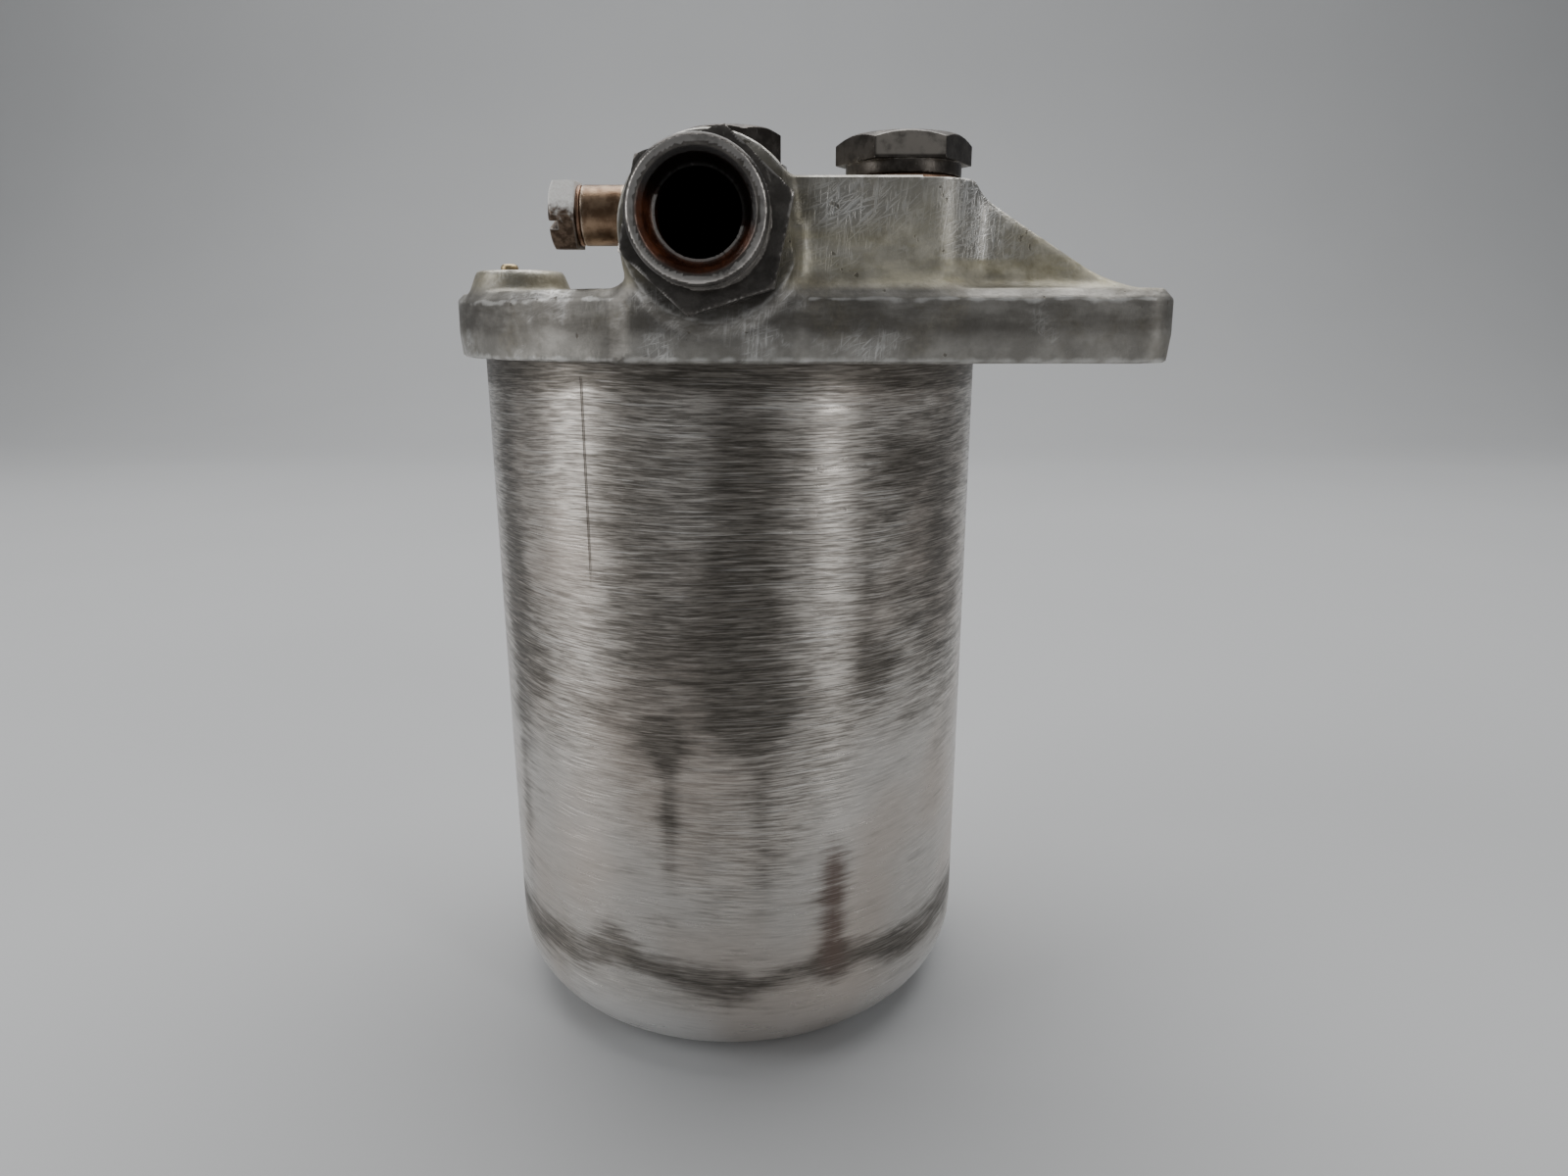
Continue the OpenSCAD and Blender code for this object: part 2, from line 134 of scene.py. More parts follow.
def add_object(name, mesh, angle=32):
    """Links a mesh, shades it smooth and keeps the edges sharper than angle as edges."""
    obj = bpy.data.objects.new(name, mesh)
    bpy.context.scene.collection.objects.link(obj)
    mesh.polygons.foreach_set("use_smooth", [True] * len(mesh.polygons))
    mesh.set_sharp_from_angle(angle=math.radians(angle))
    return obj


def gradient(field, p, h=0.02):
    """Unit normals of a field at points p, outwards."""
    g = np.stack([
        field(*(p + h * axis).T) - field(*(p - h * axis).T) for axis in np.eye(3)
    ], 1)
    return g / np.maximum(np.linalg.norm(g, axis=1, keepdims=True), 1e-9)


def edge_crossings(field, values, origin, step, axis):
    """Where the grid's edges along one axis cross the surface: cell, point, and direction."""
    shape = np.array(values.shape)
    first = [slice(None)] * 3
    second = [slice(None)] * 3
    first[axis], second[axis] = slice(0, -1), slice(1, None)
    a, b = values[tuple(first)], values[tuple(second)]
    cell = np.argwhere((a < 0) != (b < 0))
    keep = np.all([(cell[:, k] > 0) & (cell[:, k] < shape[k] - 1) for k in range(3) if k != axis], 0)
    cell = cell[keep]
    va, vb = a[tuple(cell.T)], b[tuple(cell.T)]
    low = origin + cell * step
    reach = np.zeros(3)
    reach[axis] = step
    t0, t1 = np.zeros(len(cell)), np.ones(len(cell))
    inside_first = va < 0
    for _ in range(7):
        t = (t0 + t1) / 2
        here = field(*(low + t[:, None] * reach).T) < 0
        same = here == inside_first
        t0, t1 = np.where(same, t, t0), np.where(same, t1, t)
    return cell, low + ((t0 + t1) / 2)[:, None] * reach, inside_first


def mesh_from_field(name, field, low, high, step, wear=1.0):
    """Dual contouring: one vertex in each cell that the surface crosses, put where the
    tangent planes of its crossings meet, so that sharp edges stay sharp. The attributes
    hollow and ridge say how deep in a corner and how near an outer edge a vertex lies."""
    low, high = np.array(low, float), np.array(high, float)
    count = np.ceil((high - low) / step).astype(int) + 1
    axes = [low[k] + step * np.arange(count[k]) for k in range(3)]
    values = field(*np.meshgrid(*axes, indexing="ij", sparse=True))
    found = [edge_crossings(field, values, low, step, axis) for axis in range(3)]

    quads, ids, points = [], [], []
    for axis, (cell, point, inside_first) in enumerate(found):
        b, c = [k for k in range(3) if k != axis]
        around = []
        for db, dc in ((0, 0), (-1, 0), (-1, -1), (0, -1)):
            near = cell.copy()
            near[:, b] += db
            near[:, c] += dc
            around.append(np.ravel_multi_index(near.T, count))
        ring = np.stack(around, 1)
        flip = inside_first if axis != 1 else ~inside_first
        ring[~flip] = ring[~flip][:, ::-1]
        quads.append(ring)
        ids += around
        points += [point] * 4
    ids, points = np.concatenate(ids), np.concatenate(points)
    normals = np.concatenate([np.tile(gradient(field, f[1]), (4, 1)) for f in found])
    used, slot_of = np.unique(ids, return_inverse=True)

    def total(weights):
        return np.bincount(slot_of, weights, len(used))

    hits = total(np.ones(len(ids)))
    mean = np.stack([total(points[:, k]) for k in range(3)], 1) / hits[:, None]
    offset = np.einsum("ij,ij->i", normals, points - mean[slot_of])
    ata = np.stack([total(normals[:, i] * normals[:, j]) for i in range(3) for j in range(3)], 1)
    atb = np.stack([total(normals[:, k] * offset) for k in range(3)], 1)
    ata = ata.reshape(-1, 3, 3) + 0.06 * np.eye(3)
    vertex = mean + np.linalg.solve(ata, atb[:, :, None])[:, :, 0]
    corner = low + np.stack(np.unravel_index(used, count), 1) * step
    vertex = np.clip(vertex, corner - 0.1 * step, corner + 1.1 * step)

    faces = np.searchsorted(used, np.concatenate(quads))
    mesh = bpy.data.meshes.new(name)
    mesh.vertices.add(len(vertex))
    mesh.vertices.foreach_set("co", (vertex * MM).ravel())
    mesh.loops.add(faces.size)
    mesh.loops.foreach_set("vertex_index", faces.ravel())
    mesh.polygons.add(len(faces))
    mesh.polygons.foreach_set("loop_start", np.arange(0, faces.size, 4))
    mesh.update(calc_edges=True)
    mesh.validate()

    outward = gradient(field, vertex)
    hollow = sum((t - field(*(vertex + t * outward).T)) / t for t in (1 * wear, 2.5 * wear, 5 * wear)) / 3
    ridge = (0.5 * wear + field(*(vertex - 0.5 * wear * outward).T)) / (0.5 * wear)
    for label, value in (("hollow", hollow), ("ridge", ridge)):
        layer = mesh.attributes.new(label, "FLOAT", "POINT")
        layer.data.foreach_set("value", np.clip(value, 0, 1))
    return add_object(name, mesh)


def rounded_profile(corners, per_arc=5):
    """Closed (radius, height) outline from corners given as (radius, height, fillet)."""
    path = []
    for k, (r, z, fillet) in enumerate(corners):
        here = np.array([r, z], float)
        if fillet == 0:
            path.append(here)
            continue
        before = np.array(corners[k - 1][:2], float) - here
        after = np.array(corners[(k + 1) % len(corners)][:2], float) - here
        before, after = before / np.linalg.norm(before), after / np.linalg.norm(after)
        half = math.acos(max(-1.0, min(1.0, float(before @ after)))) / 2
        start = here + before * fillet / math.tan(half)
        centre = here + (before + after) / np.linalg.norm(before + after) * fillet / math.sin(half)
        a0 = math.atan2(*(start - centre)[::-1])
        end = here + after * fillet / math.tan(half)
        a1 = math.atan2(*(end - centre)[::-1])
        turn = (a1 - a0 + math.pi) % TAU - math.pi
        for i in range(per_arc + 1):
            a = a0 + turn * i / per_arc
            path.append(centre + fillet * np.array([math.cos(a), math.sin(a)]))
    return np.array(path)


def with_spacing(path, longest):
    """The same closed outline with extra points, so that no stretch is longer than longest."""
    dense = []
    for k, point in enumerate(path):
        following = path[(k + 1) % len(path)]
        parts = max(1, math.ceil(np.linalg.norm(following - point) / longest))
        dense += [point + (following - point) * i / parts for i in range(parts)]
    return np.array(dense)


AXES = {
    "+z": (Vector((1, 0, 0)), Vector((0, 1, 0)), Vector((0, 0, 1))),
    "-y": (Vector((1, 0, 0)), Vector((0, 0, 1)), Vector((0, -1, 0))),
    "-x": (Vector((0, -1, 0)), Vector((0, 0, 1)), Vector((-1, 0, 0))),
}


def lathe(name, profile, centre, along="+z", segments=96, shape=None):
    """Turns a closed profile round an axis. Points at radius 0 become one pole.
    shape(radius, angle, height) may bend the radius."""
    side, up, axis = AXES[along]
    centre = Vector(centre)
    bm = bmesh.new()
    rings = []
    for r, z in profile:
        ring = []
        for k in range(1 if r < 1e-6 else segments):
            a = TAU * k / segments
            radius = shape(r, a, z) if shape else r
            p = centre + side * radius * math.cos(a) + up * radius * math.sin(a) + axis * z
            ring.append(bm.verts.new(p * MM))
        rings.append(ring)
    for k, ring in enumerate(rings):
        following = rings[(k + 1) % len(rings)]
        if len(ring) == 1 and len(following) == 1:
            continue
        for i in range(segments):
            j = (i + 1) % segments
            corners = [ring[i % len(ring)], ring[j % len(ring)]]
            corners += [following[j % len(following)], following[i % len(following)]]
            bm.faces.new(list(dict.fromkeys(corners)))
    bmesh.ops.recalc_face_normals(bm, faces=bm.faces)
    mesh = bpy.data.meshes.new(name)
    bm.to_mesh(mesh)
    bm.free()
    into, out_of = profile - np.roll(profile, 1, 0), np.roll(profile, -1, 0) - profile
    bend = np.arctan2(into[:, 0] * out_of[:, 1] - into[:, 1] * out_of[:, 0], (into * out_of).sum(1))
    ridge = [min(max(abs(b) / 0.35, 0), 1) for b, ring in zip(bend, rings) for _ in ring]
    mesh.attributes.new("ridge", "FLOAT", "POINT").data.foreach_set("value", ridge)
    return add_object(name, mesh)


# ---------------------------------------------------------------- where things are, in mm

def corners(node):
    return tuple(np.array(corner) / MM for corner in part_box(node))


mounts = {mount["name"]: mount for mount in frame["record"]["mounts"]}

head_low, head_high = corners("filter_head")
bowl_low, bowl_high = corners("bowl")
bowl_r, bowl_top = bowl_high[0], bowl_high[2]
flange_z = head_low[2]
flange_r = -head_low[0]
flange_top = flange_z + 11
arm_end, arm_back, arm_corner = head_high[0], 34, 5
hub_top = head_high[2]
hub_r = 11.5

plug_washer_low, plug_washer_high = corners("gallery_plug_washer")
plug_x, plug_y = place("gallery_plug_washer")[0][:2]
block_top = plug_washer_low[2]
block_right, block_front, block_rear, block_corner = plug_x + 8.9, plug_y - 18.6, plug_y + 18, 6

inlet_x, _, inlet_z = place("inlet_union_washer")[0]
inlet_face = corners("inlet_union_washer")[1][1]
inlet_boss_r = 13.4

bleed_y, bleed_z = place("bleed_screw_washer")[0][1:]
port_mount = mounts["outlet_port"]
port_z = port_mount["pos_m"][2] / MM
port_r = port_mount["dims"]["r_mm"]
port_mouth = port_mount["pos_m"][1] / MM + port_mount["dims"]["length_mm"] / 2
gallery_z = flange_z + 16

pad_plug_mid = place("pad_plug")[0]
pad_x, pad_y, pad_top = pad_plug_mid[0] + 1.8, pad_plug_mid[1], flange_top + 3.6

arm_hole_x = mounts["arm_holes"]["pos_m"][0] / MM
arm_hole_y = mounts["arm_holes"]["dims"]["spacing_y_mm"] / 2
arm_hole_r = mounts["arm_holes"]["dims"]["hole_r_mm"]


# ---------------------------------------------------------------- the head casting

def ripple(x, y, z, size, seed):
    """Smooth unevenness from -1 to 1, with bumps about size across."""
    draw = np.random.default_rng(seed)
    total = 0
    for _ in range(5):
        kx, ky, kz = draw.uniform(0.6, 1.5, 3) * math.pi / size
        px, py, pz = draw.uniform(0, TAU, 3)
        total = total + np.sin(kx * x + px) * np.sin(ky * y + py) * np.sin(kz * z + pz)
    return total / 2.2


def bevel_width(x, y, z):
    """Width of the hand-filed bevel round the flange's top edge, widest in front."""
    return 1.0 + 0.7 * np.clip((-y - 8) / 22, 0, 1) + 0.2 * ripple(x, y, z, 7, 21)


def flange_plate(x, y, z):
    """Round flange with its mounting arm. Its side leans in a little below a parting line."""
    disc = np.hypot(x, y) - flange_r
    arm = both(rect(x, y, -30, arm_end, -flange_r, arm_back, arm_corner), -x)
    outline = np.where(y > 0, joined(disc, arm, 8), joined(disc, arm))
    parting = flange_z + 4.2
    lean = 0.10 * np.maximum(parting - z, 0) + 0.02 * np.maximum(z - parting, 0)
    plate = both(outline + lean, between(z, flange_z, flange_top), 0.7)
    return both(plate, (outline + z - flange_top + bevel_width(x, y, z)) * 0.7, 0.25)


def rib(x, y, z, x0, x1, top, y0, y1):
    """Upright triangular rib that falls from (x0, top) to the flange at x1."""
    drop, run = top - flange_top - 0.3, x1 - x0
    slope = ((x - x0) * drop + (z - top) * run) / math.hypot(drop, run)
    return both(both(slope, between(y, y0, y1), 1.0), both(between(x, x0 - 5, x1 + 2), flange_z + 2 - z))


def casting(x, y, z):
    """The head as it leaves its mould, with fillets wherever two forms meet."""
    plate = flange_plate(x, y, z)
    block = both(
        rect(x, y, inlet_x - 6, block_right, block_front, block_rear, block_corner),
        between(z, flange_z + 2, block_top), 0.9)
    boss = both(np.hypot(x - inlet_x, z - inlet_z) - inlet_boss_r, between(y, inlet_face, 0), 0.5)
    boss = both(boss, x - inlet_x - 11.75 + 0.14 * (z - inlet_z), 0.5)
    leg = both(
        rect(x, y, inlet_x - inlet_boss_r + 0.6, inlet_x + inlet_boss_r - 0.6, -flange_r + 1.5, 0, 1.5),
        between(z, flange_z + 2, inlet_z))
    hub = both(np.hypot(x, y) - hub_r, between(z, flange_z + 2, hub_top), 0.8)
    length = math.hypot(plug_x, plug_y)
    along = (x * plug_x + y * plug_y) / length
    across = (x * plug_y - y * plug_x) / length
    gallery = both(np.hypot(across, z - gallery_z) - 8.2, between(along, 0, length))
    port = both(np.hypot(x, z - port_z) - port_r - 3, between(y, 2, port_mouth), 0.6)
    port_leg = both(rect(x, y, -7, 7, 2, port_mouth - 2, 1.5), between(z, flange_z + 2, port_z))
    pad_r = np.hypot(x - pad_x, y - pad_y)
    pad = both(pad_r - 8.0 + 0.4 * (z - flange_top - 1.8), between(z, flange_top - 1, pad_top), 0.8)

    body = joined(boss, leg, 2.0)
    body = joined(body, block, 2.4)
    body = joined(body, hub, 2.2)
    body = joined(body, gallery, 2.0)
    body = joined(body, joined(port, port_leg, 1.5), 2.0)
    body = joined(body, rib(x, y, z, block_right + 2.5, arm_end - 8, block_top - 3, -44, -38), 3.2)
    body = np.where(x > block_right - 8, both(body, z - block_top, 0.9), body)
    body = joined(body, plate, 3.2)
    return joined(body, pad, 0.9) + 0.05 + 0.05 * ripple(x, y, z, 9, 3)


def tapped(u, v, w, r, w0, w1):
    """Hole with thread grooves in its wall."""
    return both(joined(np.hypot(u, v) - r, screw_thread(u, v, w, r + 0.6, 1.5, w0 - 5, w1)), between(w, w0, w1))


def machined(x, y, z):
    """What the cutters took out of the casting."""
    rho = np.hypot(x, y)
    groove = both(between(rho, bowl_r - 1.8, bowl_r + 0.3), z - bowl_top - 2)
    recess = both(between(rho, 16, bowl_r - 4), z - flange_z - 3.5)
    bolt_way = joined(rho - 6.2, both(rho - 9, z - flange_z - 25))
    length = math.hypot(plug_x, plug_y)
    along = (x * plug_x + y * plug_y) / length
    across = (x * plug_y - y * plug_x) / length
    drilling = both(np.hypot(across, z - gallery_z) - 4, between(along, 0, length))
    plug_hole = tapped(x - plug_x, y - plug_y, z, port_r, gallery_z - 6, block_top + 9)
    port_r_here = np.hypot(x, z - port_z)
    outlet = tapped(x, z - port_z, -y, port_r, -port_mouth - 9, 12 - port_mouth)
    outlet = joined(outlet, both(port_r_here - 4, between(y, 7, port_mouth)))
    mouth_cone = both((port_r_here - port_r - 0.9 - (y - port_mouth)) * 0.7, between(y, port_mouth - 2, port_mouth + 1))
    inlet_r = np.hypot(x - inlet_x, z - inlet_z)
    inlet = joined(both(inlet_r - 8, y - inlet_face - 12.5), both(inlet_r - 5, y - inlet_face - 19))
    drop = both(np.hypot(x - inlet_x, y + 37.5) - 4.5, z - inlet_z)
    bleed_r = np.hypot(y - bleed_y, z - bleed_z)
    bleed = joined(both(bleed_r - 4, x + 9.6), both(bleed_r - 1.6, x - inlet_x))
    pad_hole = both(np.hypot(x - pad_plug_mid[0], y - pad_plug_mid[1]) - 1.5, pad_top - 3 - z)
    cuts = groove
    for hole in (recess, bolt_way, drilling, plug_hole, outlet, mouth_cone, inlet, drop, bleed, pad_hole):
        cuts = joined(cuts, hole)
    for side in (-1, 1):
        bolt_r = np.hypot(x - arm_hole_x, y - side * arm_hole_y)
        cuts = joined(cuts, joined(bolt_r - arm_hole_r, both(bolt_r - 9, flange_top - 0.6 - z)))
    return cuts


def head(x, y, z):
    return without(casting(x, y, z), machined(x, y, z), 0.25)


# ---------------------------------------------------------------- screws

centre_bolt_low, centre_bolt_high = corners("centre_bolt")
centre_seat = corners("centre_bolt_washer")[1][2]
plug_seat = plug_washer_high[2]
plug_low, plug_high = corners("gallery_plug")
union_low, union_high = corners("inlet_union")
union_seat = corners("inlet_union_washer")[0][1]
bleed_low, bleed_high = corners("bleed_screw")
bleed_seat = corners("bleed_screw_washer")[0][0]


def centre_bolt(x, y, z):
    shank = joined(
        both(np.hypot(x, y) - 5.6, between(z, centre_bolt_low[2] + 0.5, centre_seat + 1)),
        screw_thread(x, y, z, 5.95, 1.5, centre_bolt_low[2], centre_bolt_low[2] + 20, 1.2))
    collar = both(np.hypot(x, y) - 5.95, between(z, centre_seat - 12, centre_seat + 1), 0.2)
    cap = hex_head(x, y, z, 17, centre_seat, centre_bolt_high[2], 18)
    dimple = both(np.hypot(x, y) - 5 + 3 * (centre_bolt_high[2] - z), centre_bolt_high[2] - 0.5 - z)
    return without(joined(joined(shank, collar), cap, 0.3), dimple, 0.1)


def gallery_plug(x, y, z):
    x, y = x - plug_x, y - plug_y
    collar_top = plug_seat + 2.2
    thread = screw_thread(x, y, z, 6.95, 1.5, plug_low[2], plug_seat, 1.0)
    core = both(np.hypot(x, y) - 6.05, between(z, plug_low[2] + 0.3, plug_seat + 1))
    collar = both(np.hypot(x, y) - 9.3, between(z, plug_seat, collar_top), 0.35)
    cap = hex_head(x, y, z, 19, collar_top - 0.1, plug_high[2], 30)
    return joined(joined(joined(thread, core), collar), cap, 0.25)


def inlet_union(x, y, z):
    x, z, w = x - inlet_x, z - inlet_z, -y
    rho = np.hypot(x, z)
    seat, mouth, tail = -union_seat, -union_low[1], -union_high[1]
    hex_end = seat + 6.7
    inner = joined(both(rho - 7.2, between(w, tail, seat + 1), 0.2), both(rho - 7.95, between(w, tail + 0.2, seat + 1), 0.3))
    cap = both(hexagon(x, z, 22, 47.4), between(w, seat, hex_end), 0.12)
    cap = both(cap, (w - hex_end) * 0.87 + (rho - 12.2) * 0.5, 0.1)
    outer = joined(
        both(rho - 8.1, between(w, seat, mouth), 0.2),
        screw_thread(x, z, -w, 9, 1.5, -mouth, -hex_end - 1.6, 0.9))
    land = both(rho - 9, between(w, mouth - 1.9, mouth), 0.0)
    land = both(land, (w - mouth + rho - 8.5) * 0.7, 0.15)
    cone = both((rho - 7.0 - (w - mouth) * math.tan(math.radians(20))) * 0.94, mouth - 3.3 - w)
    bore = joined(joined(rho - 5.5, cone), (rho - 7.5 - (w - mouth)) * 0.7)
    return without(joined(joined(joined(inner, cap), outer), land), bore, 0.12)


def bleed_screw(x, y, z):
    u, v, w = z - bleed_z, y - bleed_y, -x
    rho = np.hypot(u, v)
    seat, end, tip = -bleed_seat, -bleed_low[0], -bleed_high[0]
    cap = hex_head(u, v, w, 10, seat, end, 57)
    shank = both(rho - 2.4, between(w, tip + 1.2, seat + 1))
    cone = both((rho - 1.15 - (w - tip)) * 0.7, both(rho - 2.5, between(w, tip, seat)))
    thread = screw_thread(u, v, w, 2.95, 1.0, tip + 1.6, seat, 0.6)
    tilt = math.radians(-20)
    slot = both(np.abs(u * math.cos(tilt) + v * math.sin(tilt)) - 0.6, end - 1.3 - w)
    return without(joined(joined(joined(shank, cone), thread), cap, 0.2), slot, 0.12)


def centre_post(x, y, z):
    low, high = corners("centre_post")
    rho = np.hypot(x, y)
    rod = both(rho - high[0], between(z, low[2], high[2]), 0.5)
    hole = both(joined(rho - 6, screw_thread(x, y, z, 6.5, 1.5, high[2] - 25, high[2] + 1)), high[2] - 24 - z)
    cone = (rho - 6.8 - (z - high[2])) * 0.7
    return without(rod, joined(hole, both(cone, high[2] - 2 - z)), 0.1)


# ---------------------------------------------------------------- pieces meshed from a field

def field_piece(name, node, field, step, wear, room=1.0):
    """Meshes a field inside its CAD node's box and puts it in the node's place."""
    low, high = corners(node)
    piece = mesh_from_field(name, field, low - room, high + room, step, wear)
    return stand_in(piece, node)


def stand_in(piece, node):
    """The piece rides with its CAD node's body and hides the node."""
    body = next(b for b, members in frame["record"]["behaviour"]["bodies"].items() if node in members)
    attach(piece, body)
    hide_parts(node)
    return piece


slots = {part["node"]: part["material_slot"] for part in frame["record"]["subparts"]}
pieces = {}
for node, field, step, wear in (
    ("filter_head", head, 0.6, 1.0),
    ("inlet_union", inlet_union, 0.28, 0.6),
    ("centre_bolt", centre_bolt, 0.3, 0.6),
    ("gallery_plug", gallery_plug, 0.28, 0.6),
    ("bleed_screw", bleed_screw, 0.17, 0.4),
    ("centre_post", centre_post, 0.4, 0.6),
):
    pieces[node] = field_piece(node + "_shape", node, field, step, wear)


# ---------------------------------------------------------------- pieces turned from a profile

def turned_piece(node, profile, centre, along="+z", segments=96, shape=None):
    piece = lathe(node + "_shape", profile, centre, along, segments, shape)
    pieces[node] = stand_in(piece, node)
    return piece


def washer(node, along="+z", edge=0.3, longest=3.0, inner=None):
    """Flat ring in its CAD node's box, its edges rounded."""
    low, high = corners(node)
    k = {"+z": 2, "-y": 1, "-x": 0}[along]
    outer = (high[(k + 1) % 3] - low[(k + 1) % 3]) / 2
    height = high[k] - low[k]
    centre = (low + high) / 2
    centre[k] = low[k] if along == "+z" else high[k]
    profile = rounded_profile([
        (inner, 0, edge), (outer, 0, edge), (outer, height, edge), (inner, height, edge)], 4)
    return turned_piece(node, with_spacing(profile, longest), centre, along)


def bowl_profile():
    wall, corner = 1.5, 14
    path = rounded_profile([
        (0, 0, 0), (bowl_r, 0, corner), (bowl_r, bowl_top, 0.4), (bowl_r - wall, bowl_top, 0.4),
        (bowl_r - wall, wall, corner - wall), (0, wall, 0)], 12)
    return with_spacing(path, 1.6)


def bowl_shape(r, a, z):
    """The drawn steel is a little uneven, and only ever inwards."""
    if r < 20:
        return r
    sway = 2 + math.sin(3 * a + z / 31) + math.sin(2 * a - z / 23 + 1.3)
    return r - 0.025 * sway


turned_piece("bowl", bowl_profile(), (0, 0, 0), segments=256, shape=bowl_shape)

washer("centre_bolt_washer", edge=0.3, inner=6.1)
washer("gallery_plug_washer", edge=0.5, inner=7.1)
washer("inlet_union_washer", "-y", edge=0.4, inner=8.1)
washer("bleed_screw_washer", "-x", edge=0.2, inner=3.1, longest=1)
washer("bowl_gasket", edge=0.4, inner=45.3)
washer("element_top_seal", edge=0.7, inner=9.6)
washer("element_bottom_seal", edge=0.7, inner=7.6)

turned_piece("post_collar", with_spacing(rounded_profile([
    (7.5, 0, 0.1), (12, 0, 0.2), (11.2, 1.2, 1.0), (8.6, 3, 0.4), (7.5, 3, 0.1)]), 1.5), (0, 0, bowl_low[2] + 1.5))

pad_low, pad_high = corners("pad_plug")
turned_piece("pad_plug", rounded_profile([
    (0, 0, 0), (1.5, 0, 0.2), (1.5, pad_high[2] - pad_low[2], 0.7), (0, pad_high[2] - pad_low[2], 0)]),
    (pad_plug_mid[0], pad_plug_mid[1], pad_low[2]), segments=32)

sleeve_low, sleeve_high = corners("bleed_sleeve")
sleeve_length = sleeve_high[0] - sleeve_low[0]
shoulder = sleeve_high[0] - inlet_x - -inlet_boss_r
turned_piece("bleed_sleeve", with_spacing(rounded_profile([
    (3, 0, 0.1), (4, 0, 0.2), (4, shoulder, 0), (4.5, shoulder, 0), (4.5, sleeve_length, 0.45),
    (3, sleeve_length, 0.2)]), 1.5), (sleeve_high[0], bleed_y, bleed_z), "-x", segments=64)


def cap_profile(node, upwards):
    """Pressed tinplate end cap: flat face with a stiffening bead, and a rolled skirt."""
    low, high = corners(node)
    r, height = high[0], high[2] - low[2]
    path = rounded_profile([
        (9.2, height - 1.2, 0.2), (r - 0.5, height - 1.2, 0.4), (r - 0.5, 0, 0.1), (r, 0, 0.2),
        (r, height, 1.0), (23, height, 0.4), (22, height - 0.5, 0.4), (19, height - 0.5, 0.4),
        (18, height, 0.4), (9.2, height, 0.3)])
    if not upwards:
        path[:, 1] = height - path[:, 1]
    return with_spacing(path, 2), (0, 0, low[2])


for node, upwards in (("element_top_cap", True), ("element_bottom_cap", False)):
    profile, foot = cap_profile(node, upwards)
    turned_piece(node, profile, foot)

cup_low, cup_high = corners("spring_cup")
cup_height = cup_high[2] - cup_low[2]
turned_piece("spring_cup", with_spacing(rounded_profile([
    (8, cup_height - 1.2, 0.2), (17, cup_height - 1.2, 0.6), (17, 0, 0.2), (18, 0, 0.3), (18, cup_height, 1.4),
    (8, cup_height, 0.3)]), 2), (0, 0, cup_low[2]))


# ---------------------------------------------------------------- spring and pleated paper

def tube_mesh(name, points, radius, sides, floor, ceiling):
    """Round wire along points, ground flat at floor and at ceiling, its ends closed."""
    bm = bmesh.new()
    rings = []
    for k, here in enumerate(points):
        ahead = points[min(k + 1, len(points) - 1)] - points[max(k - 1, 0)]
        out = Vector((here[0], here[1], 0)).normalized()
        up = Vector(ahead).cross(out).normalized()
        ring = []
        for i in range(sides):
            a = TAU * i / sides
            p = Vector(here) + radius * (out * math.cos(a) + up * math.sin(a))
            p.z = min(max(p.z, floor), ceiling)
            ring.append(bm.verts.new(p * MM))
        rings.append(ring)
    for ring, following in zip(rings, rings[1:]):
        for i in range(sides):
            j = (i + 1) % sides
            bm.faces.new((ring[i], ring[j], following[j], following[i]))
    bm.faces.new(rings[0])
    bm.faces.new(rings[-1])
    bmesh.ops.recalc_face_normals(bm, faces=bm.faces)
    mesh = bpy.data.meshes.new(name)
    bm.to_mesh(mesh)
    bm.free()
    return add_object(name, mesh)


spring_low, spring_high = corners("pressure_spring")
wire_r = 1.2
coil_r = spring_high[0] - wire_r
turns, closed = 5.5, 0.8
spring_points = []
for k in range(int(turns * 48) + 1):
    t = k / 48
    rise = np.clip((t - closed) / (turns - 2 * closed), 0, 1)
    rise = 0.9 * rise + 0.1 * (3 * rise ** 2 - 2 * rise ** 3)
    foot = spring_low[2] + wire_r * 0.55 + 0.9 * min(t, closed)
    head_end = spring_high[2] - wire_r * 0.55 - 0.9 * min(turns - t, closed)
    a = TAU * t
    height = foot + (head_end - foot) * rise
    spring_points.append(np.array([coil_r * math.cos(a), coil_r * math.sin(a), height]))
spring = tube_mesh(
    "pressure_spring_shape", spring_points, wire_r, 14, float(spring_low[2]), float(spring_high[2]))
pieces["pressure_spring"] = stand_in(spring, "pressure_spring")
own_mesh(spring)


